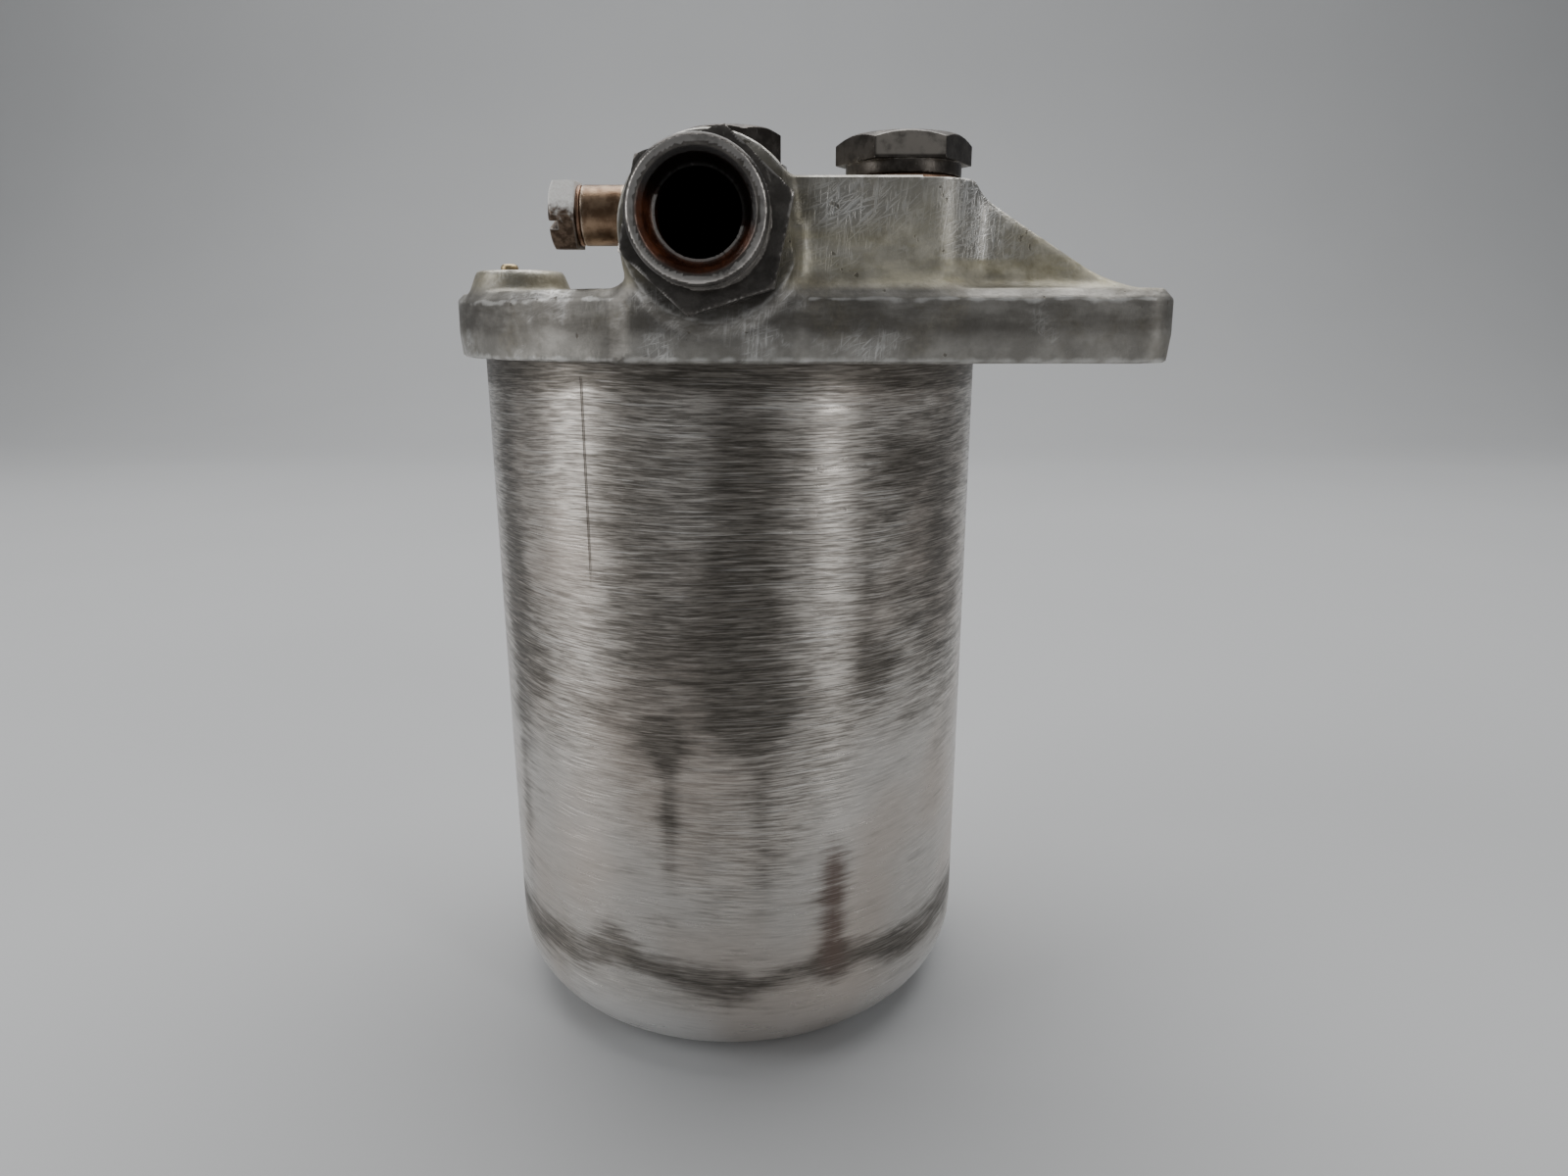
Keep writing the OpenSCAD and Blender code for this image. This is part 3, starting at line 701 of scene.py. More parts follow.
def paper_mesh(name):
    """Pleated paper: the outline swings between two radii with rounded folds."""
    low, high = corners("element_paper")
    outer, inner, thickness, pleats, per_pleat, rows = high[0] - 0.5, 12.9, 0.45, 56, 24, 12
    line = []
    for k in range(pleats * per_pleat):
        swing = math.asin(0.985 * math.sin(TAU * (k % per_pleat) / per_pleat)) / math.asin(0.985)
        r = (outer + inner) / 2 + (outer - inner) / 2 * swing
        a = TAU * k / (pleats * per_pleat)
        line.append(np.array([r * math.cos(a), r * math.sin(a)]))
    line = np.array(line)
    along = np.roll(line, -1, 0) - np.roll(line, 1, 0)
    normal = np.stack([along[:, 1], -along[:, 0]], 1) / np.linalg.norm(along, axis=1)[:, None]
    count = len(line)
    points, faces = [], []
    for side in (1, -1):
        for row in range(rows + 1):
            z = low[2] + (high[2] - low[2]) * row / rows
            wobble = 0.12 * np.sin(np.arange(count) * 0.9 + row * 1.7) * (0 < row < rows)
            level = line + (side * thickness / 2 + wobble)[:, None] * normal
            points.append(np.column_stack([level, np.full(count, z)]))
    per_side = (rows + 1) * count
    for side in (0, 1):
        for row in range(rows):
            for k in range(count):
                a = side * per_side + row * count + k
                b = side * per_side + row * count + (k + 1) % count
                quad = (a, b, b + count, a + count)
                faces.append(quad if side == 0 else quad[::-1])
    for row, order in ((0, -1), (rows, 1)):
        for k in range(count):
            a, b = row * count + k, row * count + (k + 1) % count
            faces.append((a, b, b + per_side, a + per_side)[::order])
    mesh = bpy.data.meshes.new(name)
    mesh.from_pydata((np.concatenate(points) * MM).tolist(), [], faces)
    mesh.update()
    return add_object(name, mesh, 50)


pieces["element_paper"] = stand_in(paper_mesh("element_paper_shape"), "element_paper")
for node in ("element_wrap", "element_core"):
    pieces[node] = frame["nodes"][node]


# ---------------------------------------------------------------- camera, lights and floor

scene = bpy.context.scene


def camera_at(location, pitch_down, focal):
    """Camera that looks along +Y, tipped down by pitch_down degrees."""
    data = bpy.data.cameras.new("camera")
    data.sensor_width = 36
    data.lens = focal
    data.clip_start = 0.01
    obj = bpy.data.objects.new("camera", data)
    obj.location = Vector(location) * MM
    obj.rotation_euler = (math.radians(90 - pitch_down), 0, 0)
    scene.collection.objects.link(obj)
    scene.camera = obj


def softbox(name, azimuth, height, distance, width, tall, power, colour=(1, 1, 1), aim=80):
    """Area light round the filter. Azimuth is in degrees from -Y towards +X."""
    data = bpy.data.lights.new(name, "AREA")
    data.shape = "RECTANGLE"
    data.size, data.size_y = width, tall
    data.energy = power
    data.color = colour
    obj = bpy.data.objects.new(name, data)
    a = math.radians(azimuth)
    obj.location = (distance * math.sin(a), -distance * math.cos(a), height)
    towards = Vector((0, 0, aim * MM)) - obj.location
    obj.rotation_euler = towards.to_track_quat("-Z", "Y").to_euler()
    scene.collection.objects.link(obj)


camera_at((10.2, -204.9, 134.74), 14.66, 23.15)
softbox("left_softbox", -72, 0.50, 1.1, 0.55, 1.1, 5.6)
softbox("right_strip", 47, 0.40, 1.0, 0.14, 1.0, 1.9)
softbox("top_softbox", 175, 1.3, 0.45, 1.8, 1.1, 22, aim=120)

world = bpy.data.worlds.new("studio")
world.use_nodes = True
world.node_tree.nodes["Background"].inputs["Color"].default_value = (0.30, 0.31, 0.32, 1)
world.node_tree.nodes["Background"].inputs["Strength"].default_value = 0.56
scene.world = world


def backdrop():
    """Floor that curves up into a wall behind the filter."""
    path = [(-1.6, 0)]
    for k in range(13):
        a = math.pi / 2 * k / 12
        path.append((0.9 + 0.5 * math.sin(a), 0.5 - 0.5 * math.cos(a)))
    path.append((1.4, 2.2))
    bm = bmesh.new()
    left = [bm.verts.new((-2.4, y, z)) for y, z in path]
    right = [bm.verts.new((2.4, y, z)) for y, z in path]
    for k in range(len(path) - 1):
        bm.faces.new((left[k], right[k], right[k + 1], left[k + 1]))
    mesh = bpy.data.meshes.new("floor")
    bm.to_mesh(mesh)
    bm.free()
    floor = add_object("floor", mesh, 60)
    return floor


floor = backdrop()


# ---------------------------------------------------------------- materials

class Look:
    """Short calls that build one node material. Positions are object coordinates in mm."""

    def __init__(self, name, metallic=1.0):
        self.material = bpy.data.materials.new(name)
        self.material.use_nodes = True
        self.tree = self.material.node_tree
        self.shader = self.tree.nodes["Principled BSDF"]
        self.shader.inputs["Metallic"].default_value = metallic
        coordinates = self.tree.nodes.new("ShaderNodeTexCoord").outputs["Object"]
        self.place = self.vector("MULTIPLY", coordinates, (1000, 1000, 1000))

    def put(self, socket, value):
        if isinstance(value, bpy.types.NodeSocket):
            self.tree.links.new(value, socket)
        else:
            socket.default_value = value

    def vector(self, operation, a, b):
        node = self.tree.nodes.new("ShaderNodeVectorMath")
        node.operation = operation
        self.put(node.inputs[0], a)
        self.put(node.inputs[1], b)
        return node.outputs["Vector"]

    def math(self, operation, a, b=0.0, clamp=False):
        node = self.tree.nodes.new("ShaderNodeMath")
        node.operation = operation
        node.use_clamp = clamp
        self.put(node.inputs[0], a)
        self.put(node.inputs[1], b)
        return node.outputs["Value"]

    def turned(self, angles):
        """Object position turned by angles in degrees."""
        node = self.tree.nodes.new("ShaderNodeVectorRotate")
        node.rotation_type = "EULER_XYZ"
        self.put(node.inputs["Vector"], self.place)
        node.inputs["Rotation"].default_value = [math.radians(a) for a in angles]
        return node.outputs["Vector"]

    def noise(self, size, detail=3.0, roughness=0.5, shift=0.0, stretch=(1, 1, 1), at=None, distortion=0.0):
        """Noise from 0 to 1 whose marks are about size mm, longer by stretch on each axis."""
        node = self.tree.nodes.new("ShaderNodeTexNoise")
        scaled = self.vector("MULTIPLY", at or self.place, tuple(1 / (size * s) for s in stretch))
        self.put(node.inputs["Vector"], self.vector("ADD", scaled, (shift, 1.7 * shift, -2.3 * shift)))
        node.inputs["Scale"].default_value = 1.0
        node.inputs["Detail"].default_value = detail
        node.inputs["Roughness"].default_value = roughness
        node.inputs["Distortion"].default_value = distortion
        return node.outputs["Fac"]

    def step(self, value, low, high, out_low=0.0, out_high=1.0):
        """Smooth step from out_low to out_high while value goes from low to high."""
        node = self.tree.nodes.new("ShaderNodeMapRange")
        node.interpolation_type = "SMOOTHSTEP"
        self.put(node.inputs["Value"], value)
        for name, number in (("From Min", low), ("From Max", high), ("To Min", out_low), ("To Max", out_high)):
            node.inputs[name].default_value = number
        return node.outputs["Result"]

    def mix(self, a, b, factor):
        node = self.tree.nodes.new("ShaderNodeMix")
        node.data_type = "RGBA"
        self.put(node.inputs[0], factor)
        self.put(node.inputs[6], (*a, 1) if isinstance(a, tuple) else a)
        self.put(node.inputs[7], (*b, 1) if isinstance(b, tuple) else b)
        return node.outputs[2]

    def blend_values(self, a, b, factor):
        node = self.tree.nodes.new("ShaderNodeMix")
        node.data_type = "FLOAT"
        self.put(node.inputs[0], factor)
        self.put(node.inputs[2], a)
        self.put(node.inputs[3], b)
        return node.outputs[0]

    def attribute(self, name):
        node = self.tree.nodes.new("ShaderNodeAttribute")
        node.attribute_name = name
        return node.outputs["Fac"]

    def axis(self, name):
        """One coordinate of the object position, in mm."""
        node = self.tree.nodes.new("ShaderNodeSeparateXYZ")
        self.put(node.inputs[0], self.place)
        return node.outputs[name]

    def bump(self, height, depth_mm, strength=1.0, below=None):
        node = self.tree.nodes.new("ShaderNodeBump")
        node.inputs["Strength"].default_value = strength
        node.inputs["Distance"].default_value = depth_mm * MM
        self.put(node.inputs["Height"], height)
        if below is not None:
            self.put(node.inputs["Normal"], below)
        return node.outputs["Normal"]

    def finish(self, colour, roughness, normal=None, metallic=None, anisotropy=0.0, lean=0.0, axis="Z"):
        self.put(self.shader.inputs["Base Color"], (*colour, 1) if isinstance(colour, tuple) else colour)
        self.put(self.shader.inputs["Roughness"], roughness)
        if normal is not None:
            self.put(self.shader.inputs["Normal"], normal)
        if metallic is not None:
            self.put(self.shader.inputs["Metallic"], metallic)
        if anisotropy:
            self.shader.inputs["Anisotropic"].default_value = anisotropy
            self.shader.inputs["Anisotropic Rotation"].default_value = lean
            tangent = self.tree.nodes.new("ShaderNodeTangent")
            tangent.direction_type = "RADIAL"
            tangent.axis = axis
            self.put(self.shader.inputs["Tangent"], tangent.outputs["Tangent"])
        return self.material


def paint(piece, **layers):
    """Stores numbers on a piece's vertices for its material to read."""
    for label, value in layers.items():
        layer = piece.data.attributes.new(label, "FLOAT", "POINT")
        layer.data.foreach_set("value", np.clip(value, 0, 1))


def vertices_mm(piece):
    flat = np.zeros(len(piece.data.vertices) * 3)
    piece.data.vertices.foreach_get("co", flat)
    return (flat.reshape(-1, 3) / MM).T


# Dark patches on the bowl, partly tarnish and partly painted shade: the tall bands at 5, -55 and 60 degrees paint dark
# reflections. Columns: degrees from -Y towards +X, height, half width, half height, strength
BOWL_PATCHES = (
    (5, 98, 8.5, 32, 0.85), (-6, 80, 10, 6, 0.35), (4, 71, 11, 6, 0.75), (-13, 66, 6, 4, 0.75), (-12, 52, 2.5, 16, 0.55),
    (8, 50, 3, 20, 0.30), (33, 77, 6, 5, 0.65), (31, 92, 3, 16, 0.35), (40, 112, 10, 6, 0.55), (52, 96, 5, 24, 0.45),
    (-55, 90, 7, 34, 0.75), (-44, 73, 6, 5, 0.50), (-30, 70, 8, 3, 0.45), (-22, 57, 5, 5, 0.35), (-36, 118, 8, 6, 0.25),
    (60, 92, 7, 34, 0.45), (-58, 45, 3, 20, 0.35), (-17, 98, 10, 28, 0.48), (42, 90, 8, 30, 0.25),
    (95, 70, 14, 22, 0.6), (150, 100, 20, 14, 0.5), (-120, 60, 16, 25, 0.5), (-165, 95, 10, 18, 0.5))
# Ragged grime above the bowl's lower radius: degrees, height, thickness
GRIME_BAND = (
    (-180, 21, 4), (-120, 22, 4), (-75, 20, 4), (-55, 19, 4.5), (-49, 20, 4.5), (-35, 20, 5), (-27, 24, 5),
    (-22, 23, 4), (-18, 22, 3), (-9, 20, 3.5), (0, 19, 4.5), (6, 19, 2.2), (12, 20, 2), (18, 21, 2.2),
    (24, 20.5, 3.5), (32, 21.5, 2.8), (38, 20.5, 3), (48, 19.5, 4.5), (58, 20, 4), (75, 20, 3.5),
    (120, 22, 4), (180, 21, 4))


def paint_bowl(piece):
    x, y, z = vertices_mm(piece)
    angle = np.degrees(np.arctan2(x, -y))
    # Darker above 60 mm; the patches add tarnish and painted shade.
    stain = 0.10 + 0.10 * ripple(x, y, z, 22, 5) + 0.12 * np.interp(z, (60, 85), (0, 1))
    for middle, height, half_width, half_height, strength in BOWL_PATCHES:
        off = (angle - middle + 180) % 360 - 180
        stain = stain + strength * np.exp(-(off / half_width) ** 2 - ((z - height) / half_height) ** 2)
    at, height, thickness = np.array(GRIME_BAND).T
    band = (z - np.interp(angle, at, height)) / np.interp(angle, at, thickness)
    stain = stain + 0.75 * np.exp(-np.abs(band) ** 2)
    rust = np.exp(-((angle - 24) / 4) ** 2) * np.interp(z, (16, 22, 42, 50), (0, 1, 1, 0))
    stain = np.where(z < 12, stain * np.interp(z, (4, 12), (0.35, 1)), stain) + 0.7 * rust
    # Painted shadow: a dark band on the bowl just below the flange.
    stain = stain + 1.1 * np.interp(z, (bowl_top - 10, bowl_top - 6), (0, 1))
    edge = 66 + 7 * np.sin(np.radians(angle) * 3) - 30 * np.exp(-((angle - 5) / 24) ** 2)
    smooth = np.interp(z - edge - 4 * ripple(x, y, z, 11, 9), (-9, 7), (1, 0))
    paint(piece, stain=stain, rust=rust, smooth=smooth)


def paint_head(piece):
    """Dark bands of soil on the flange's side, an olive film on the block, ground patches, and painted shade: on the
    fillet left of the inlet boss, round and below the inlet union, and near black in its hole.
    """
    x, y, z = vertices_mm(piece)
    heights = (flange_z, flange_z + 3.4, flange_z + 5, flange_top - 1.9, flange_top - 1.2, flange_top + 6)
    grime = np.interp(z, heights, (0.05, 0.15, 0.85, 0.85, 0.2, 0.1))
    grime = grime * np.interp(x, (-45, -20, 20, 60), (1.15, 1.0, 1.0, 0.8))
    # Painted shade: the fillet left of the inlet boss is darkened so that it shows no highlight.
    fillet = np.exp(-((x - inlet_x + 15) / 3) ** 2) * (z < flange_top - 1) * (y < -30)
    grime = np.maximum(grime, 0.9 * fillet)
    on_pad = np.exp(-((x - pad_x) / 9) ** 4 - ((y - pad_y) / 9) ** 4)
    grime = np.maximum(grime, on_pad * np.interp(z, (flange_top, pad_top - 1.4, pad_top - 0.8), (1, 1, 0.2)))
    inlet_r = np.hypot(x - inlet_x, z - inlet_z)
    # Painted shadow mixed with soil in a ring round the inlet union.
    grime = np.maximum(grime, np.exp(-((inlet_r - 12) / 4.5) ** 4) * (y < inlet_face + 6) * (z < inlet_z + 8))
    olive = np.interp(z, (flange_top - 0.5, flange_top + 1, block_top - 7, block_top - 1), (0, 1, 0.75, 0.2))
    olive = olive * np.interp(x, (inlet_x - 4, inlet_x + 6), (0.5, 1))
    ground = np.exp(-((x - 19) / 10) ** 2 - ((z - block_top + 4.5) / 4) ** 2)
    ground = np.maximum(ground, np.exp(-((x - block_right - 1) / 6) ** 2) * (z > flange_top + 4))
    ground = ground * (y < block_front + 8)
    # Painted shade: near black inside the inlet hole, and a painted shadow round the union, strongest below it.
    bore = np.interp(inlet_r, (8.3, 8.8), (1, 0)) * (y > inlet_face + 0.4) * (y < -30)
    under = np.interp(inlet_r, (12.6, 14.2), (0.6, 0)) * np.interp(z - inlet_z, (-4, 4), (1, 0.25))
    bore = np.maximum(bore, under * (y < inlet_face + 2.5))
    edge = 0.75 * np.exp(-((z - flange_top + bevel_width(x, y, z)) / 0.3) ** 2) * (np.abs(x - inlet_x) > 14)
    edge = edge + 0.6 * np.exp(-((z - flange_z - 0.5) / 0.6) ** 2)
    edge = edge * (0.75 + 0.6 * ripple(x, y, z, 3, 41)) * np.interp(y, (-25, -12), (1, 0))
    edge = edge + 0.5 * np.exp(-((inlet_r - 13.1) / 0.35) ** 2) * (y < inlet_face + 0.5)
    ridge = np.zeros(len(x), np.float32)
    piece.data.attributes["ridge"].data.foreach_get("value", ridge)
    piece.data.attributes["ridge"].data.foreach_set("value", np.clip(np.maximum(ridge, 0.8 * edge), 0, 1))
    paint(piece, grime=np.clip(grime, 0, 1), olive=olive * (1 - 0.8 * ground), ground=ground, bore=bore)


def paint_union(piece):
    """Rust on the lower, lit side of the bore and painted shade, near black, on the rest of it; painted shade on the
    hexagon and the thread; a painted glint at the inner end of the cone; and hardly any bright wear on the thread.
    """
    x, y, z = vertices_mm(piece)
    radius = np.hypot(x - inlet_x, z - inlet_z)
    inside = np.interp(radius - np.interp(y, (union_low[1], union_low[1] + 4.5), (1.6, 0)), (5.75, 6.05), (1, 0))
    # Rust shows on the lower, lit side of the bore; the rest of the bore is painted near black as painted shade.
    rusty = np.interp((z - inlet_z) + 0.35 * (x - inlet_x), (-4.5, 1.5), (1, 0))
    rusty = rusty * np.interp(y, (union_low[1] + 5.5, union_low[1] + 7), (1, 0)) * (radius < 7.7)
    ridge = np.zeros(len(x), np.float32)
    piece.data.attributes["ridge"].data.foreach_get("value", ridge)
    # Painted highlight: a wet glint at the inner end of the cone on the lit lower side, written into ridge so it shows
    # as bright metal.
    glint = np.exp(-((radius - 5.65) / 0.3) ** 2 - ((y - union_low[1] - 3.4) / 0.4) ** 2) * (rusty > 0.2)
    outline = hexagon(x - inlet_x, z - inlet_z, 22, 47.4)
    rim_line = np.exp(-((outline + 0.12) / 0.24) ** 2) * (y < union_seat - 4.6) * (radius > 10)
    ridge = np.maximum(ridge, rim_line * (0.42 + 0.5 * ripple(x, y, z, 4, 61)))
    inside = inside * (1 - glint)
    ridge = np.maximum(ridge, glint)
    end_face = (radius > 7.7) * (radius < 8.6) * (y < union_low[1] + 0.3)
    ridge = np.maximum(ridge, end_face * (0.5 + 0.2 * ripple(x, y, z, 5, 67)))
    threaded = (y > union_low[1] + 1.4) & (y < union_seat - 7.2) & (radius > 8)
    piece.data.attributes["ridge"].data.foreach_set("value", np.where(threaded, 0.2 * ridge, ridge))
    shade = (y > union_seat - 8) * (radius > 9) * np.interp(z - inlet_z, (-5, 4), (0.55, 0.15))
    shade = np.maximum(shade, 0.6 * (radius > 8.62) * (y < union_seat - 7))
    # The bore value marks the inside of the bore, rust on its lit side and painted shade elsewhere, and painted shade
    # on the hexagon and the thread.
    paint(piece, bore=np.maximum(inside, shade * (1 - ridge)), rusty=rusty)


def paint_plug(piece):
    """The facet in front is painted lighter than the others, as painted light."""
    x, y, z = vertices_mm(piece)
    paint(piece, pale=(y < plug_y - 9.2) * (np.abs(x - plug_x) < 5.4) * (z > plug_seat + 2.5))


def scribed_line(look, place, degrees, low, high):
    """Thin upright scratch on the bowl at an angle from -Y towards +X."""
    a = math.radians(degrees)
    off = look.tree.nodes.new("ShaderNodeVectorMath")
    off.operation = "DOT_PRODUCT"
    look.put(off.inputs[0], place)
    off.inputs[1].default_value = (math.cos(a), math.sin(a), 0)
    line = look.step(look.math("ABSOLUTE", off.outputs["Value"]), 0.10, 0.28, 1.0, 0.0)
    upright = look.step(look.axis("Z"), low - 1, low + 6)
    capped = look.step(look.axis("Z"), high - 1, high, 1.0, 0.0)
    front = look.step(look.axis("Y"), -2, 2, 1.0, 0.0)
    return look.math("MULTIPLY", look.math("MULTIPLY", line, upright), look.math("MULTIPLY", capped, front))


def bowl_steel():
    """Bare drawn steel, sanded round by hand, with dark tarnished patches, and painted shade: a dark band below the
    flange and tall dark bands painted as reflections; the bottom rim is painted paler as a reflection of the floor.
    """
    look = Look("bowl_steel")
    sway = look.math("MULTIPLY", look.math("SUBTRACT", look.noise(38, 1), 0.5), 3.5)
    lift = look.tree.nodes.new("ShaderNodeCombineXYZ")
    look.put(lift.inputs["Z"], sway)
    swayed = look.vector("ADD", look.place, lift.outputs["Vector"])
    fine = look.noise(0.30, 3, 0.65, 1.0, (17, 17, 1), swayed)
    hairs = look.step(look.noise(0.22, 1, 0.5, 17.0, (48, 48, 1), swayed), 0.60, 0.68)
    coarse = look.noise(0.8, 3, 0.6, 4.0, (12, 12, 1), swayed)
    nicks = look.noise(1.3, 2, 0.5, 8.0, (1.6, 1.6, 1), swayed)
    # The bowl's attribute holds tarnish and painted shade: the dark band below the flange and tall bands painted as
    # dark reflections.
    stain = look.attribute("stain")
    drawn = look.noise(3, 5, 0.62, 2.0, (4, 4, 1), swayed)
    ragged = look.math("ADD", stain, look.math("MULTIPLY", look.math("SUBTRACT", drawn, 0.5), 1.0))
    ragged = look.math("ADD", ragged, look.math("MULTIPLY", look.math("SUBTRACT", coarse, 0.5), 1.1))
    tarnish = look.step(ragged, 0.10, 0.90)
    smooth = look.attribute("smooth")
    scratched = look.math("SUBTRACT", 1.0, smooth)
    metal = look.mix((0.23, 0.212, 0.19), (0.62, 0.578, 0.53), look.step(fine, 0.36, 0.66))
    metal = look.mix(metal, (0.58, 0.555, 0.525), look.math("MULTIPLY", smooth, 0.75))
    # Painted reflection: the metal is painted paler towards the bottom rim, standing in for the pale floor it faces.
    metal = look.mix(metal, (0.86, 0.85, 0.835), look.step(look.axis("Z"), 7, 17, 0.85, 0.0))
    metal = look.mix(metal, (0.80, 0.78, 0.75), look.math("MULTIPLY", hairs, look.blend_values(0.15, 0.55, scratched)))
    warm = look.step(look.noise(30, 2, 0.5, 6.0), 0.42, 0.68)
    metal = look.mix(metal, (0.50, 0.43, 0.375), look.math("MULTIPLY", warm, 0.6))
    dirt = look.mix((0.078, 0.070, 0.060), (0.19, 0.172, 0.15), look.step(fine, 0.36, 0.66))
    rust = look.attribute("rust")
    dirt = look.mix(dirt, (0.11, 0.075, 0.062), rust)
    cut_through = look.math("MAXIMUM", look.step(coarse, 0.60, 0.70), look.math("MULTIPLY", hairs, 0.45))
    shown = look.math("MULTIPLY", tarnish, look.blend_values(1.0, 0.45, cut_through))
    colour = look.mix(metal, dirt, look.math("MULTIPLY", shown, 0.9))
    pits = look.step(look.noise(1.1, 2, 0.5, 11.0), 0.70, 0.78)
    colour = look.mix(colour, (0.16, 0.13, 0.11), look.math("MULTIPLY", pits, look.blend_values(0.10, 0.5, tarnish)))
    roughness = look.blend_values(0.30, 0.46, tarnish)
    roughness = look.math("ADD", roughness, look.math("MULTIPLY", look.math("SUBTRACT", coarse, 0.5), 0.22))
    relief = look.math("ADD", look.math("MULTIPLY", fine, 0.6), look.math("MULTIPLY", coarse, 0.75))
    relief = look.math("MULTIPLY", relief, look.blend_values(0.16, 1.0, scratched))
    relief = look.math("SUBTRACT", relief, look.math("MULTIPLY", look.math("ADD", look.step(nicks, 0.66, 0.74), hairs), 0.3))
    scribe = scribed_line(look, swayed, -28, 92, 127)
    relief = look.math("SUBTRACT", relief, look.math("MULTIPLY", scribe, 1.2))
    colour = look.mix(colour, (0.10, 0.085, 0.07), look.math("MULTIPLY", scribe, 0.6))
    return look.finish(colour, roughness, look.bump(relief, 0.050), anisotropy=0.62, lean=0.25)


def scratches(look, angles, size, stretch, shift):
    """Short straight scratches: stretched along one direction, thin across it."""
    return look.step(look.noise(size, 2, 0.5, shift, stretch, look.turned(angles)), 0.54, 0.66)


def cast_aluminium():
    """Sand-cast aluminium, ground here and there, with old soil in its corners, and painted shade where the head is
    painted for it: near the inlet union and in its hole.
    """
    look = Look("cast_aluminium")
    hollow, ridge = look.attribute("hollow"), look.attribute("ridge")
    patches = look.noise(13, 4, 0.6, 3.0)
    ground = look.math("MAXIMUM", look.attribute("ground"), look.math("MULTIPLY", look.step(patches, 0.50, 0.62), 0.6))
    marks = look.math("MAXIMUM", scratches(look, (0, 42, 0), 0.34, (16, 6, 1), 1.0),
                      scratches(look, (0, 18, 0), 0.30, (13, 6, 1), 5.0))
    marks = look.math("MAXIMUM", marks, scratches(look, (0, 84, 0), 0.30, (18, 6, 1), 9.0))
    marks = look.math("MAXIMUM", marks, scratches(look, (0, 0, 35), 0.34, (16, 1, 6), 14.0))
    marks = look.math("MULTIPLY", marks, ground)
    grain = look.noise(0.75, 3, 0.6, 7.0)
    skin = look.noise(2.6, 3, 0.55, 12.0)
    metal = look.mix((0.27, 0.258, 0.235), (0.39, 0.375, 0.345), look.step(look.noise(6, 4, 0.6, 15.0), 0.35, 0.65))
    metal = look.mix(metal, (0.52, 0.505, 0.48), look.math("MULTIPLY", ground, 0.7))
    metal = look.mix(metal, (0.90, 0.89, 0.87), look.math("MULTIPLY", marks, 0.8))
    worn = look.step(look.math("ADD", ridge, look.math("MULTIPLY", look.math("SUBTRACT", skin, 0.5), 0.5)), 0.14, 0.50)
    metal = look.mix(metal, (0.60, 0.59, 0.565), look.math("MULTIPLY", worn, 0.7))
    rubbed = look.step(look.noise(5, 5, 0.65, 31.0, (2.4, 2.4, 0.7)), 0.36, 0.68, 1.0, 0.4)
    # Dark soil plus painted shade: on the fillet left of the inlet boss and in a ring round the inlet union.
    metal = look.mix(metal, (0.098, 0.09, 0.078), look.math("MULTIPLY", look.attribute("grime"), rubbed))
    film_colour = look.mix((0.40, 0.362, 0.24), (0.70, 0.65, 0.50), look.step(look.noise(4, 4, 0.6, 34.0), 0.35, 0.65))
    metal = look.mix(metal, film_colour, look.math("MULTIPLY", look.attribute("olive"), rubbed))
    metal = look.mix(metal, (0.60, 0.59, 0.565), look.math("MULTIPLY", worn, 0.6))
    wear = look.math("MULTIPLY", look.math("SUBTRACT", look.noise(4, 4, 0.65, 20.0), 0.5), 0.8)
    dirty = look.step(look.math("ADD", hollow, wear), 0.16, 0.62)
    film = look.math("MULTIPLY", look.step(look.noise(10, 4, 0.6, 23.0), 0.50, 0.68), 0.42)
    dirty = look.math("MAXIMUM", dirty, film)
    dirty = look.math("MULTIPLY", dirty, look.math("SUBTRACT", 1.0, worn))
    soil = look.mix((0.085, 0.072, 0.048), (0.20, 0.175, 0.12), look.step(grain, 0.35, 0.65))
    colour = look.mix(metal, soil, look.math("MULTIPLY", dirty, 0.85))
    specks = look.step(look.noise(1.6, 2, 0.5, 27.0), 0.70, 0.76)
    colour = look.mix(colour, (0.10, 0.085, 0.06), look.math("MULTIPLY", specks, 0.6))
    # Painted shade: near black inside the inlet hole, and a painted shadow round the inlet union, strongest below it.
    bore = look.attribute("bore")
    colour = look.mix(colour, (0.012, 0.009, 0.007), bore)
    roughness = look.blend_values(0.50, 0.36, ground)
    roughness = look.math("ADD", roughness, look.math("MULTIPLY", dirty, 0.25))
    roughness = look.math("ADD", roughness, look.math("MULTIPLY", look.math("SUBTRACT", grain, 0.5), 0.16))
    relief = look.math("ADD", look.math("MULTIPLY", grain, 0.45), skin)
    relief = look.math("MULTIPLY", relief, look.blend_values(1.0, 0.45, ground))
    relief = look.math("SUBTRACT", relief, look.math("MULTIPLY", marks, 0.30))
    relief = look.math("SUBTRACT", relief, look.math("MULTIPLY", specks, 0.5))
    filmed = look.math("MAXIMUM", look.attribute("olive"), look.attribute("grime"))
    filmed = look.math("MAXIMUM", look.math("MULTIPLY", filmed, 0.55), dirty)
    metallic = look.blend_values(1.0, 0.25, look.math("MULTIPLY", filmed, 0.8))
    return look.finish(colour, roughness, look.bump(relief, 0.10), metallic)


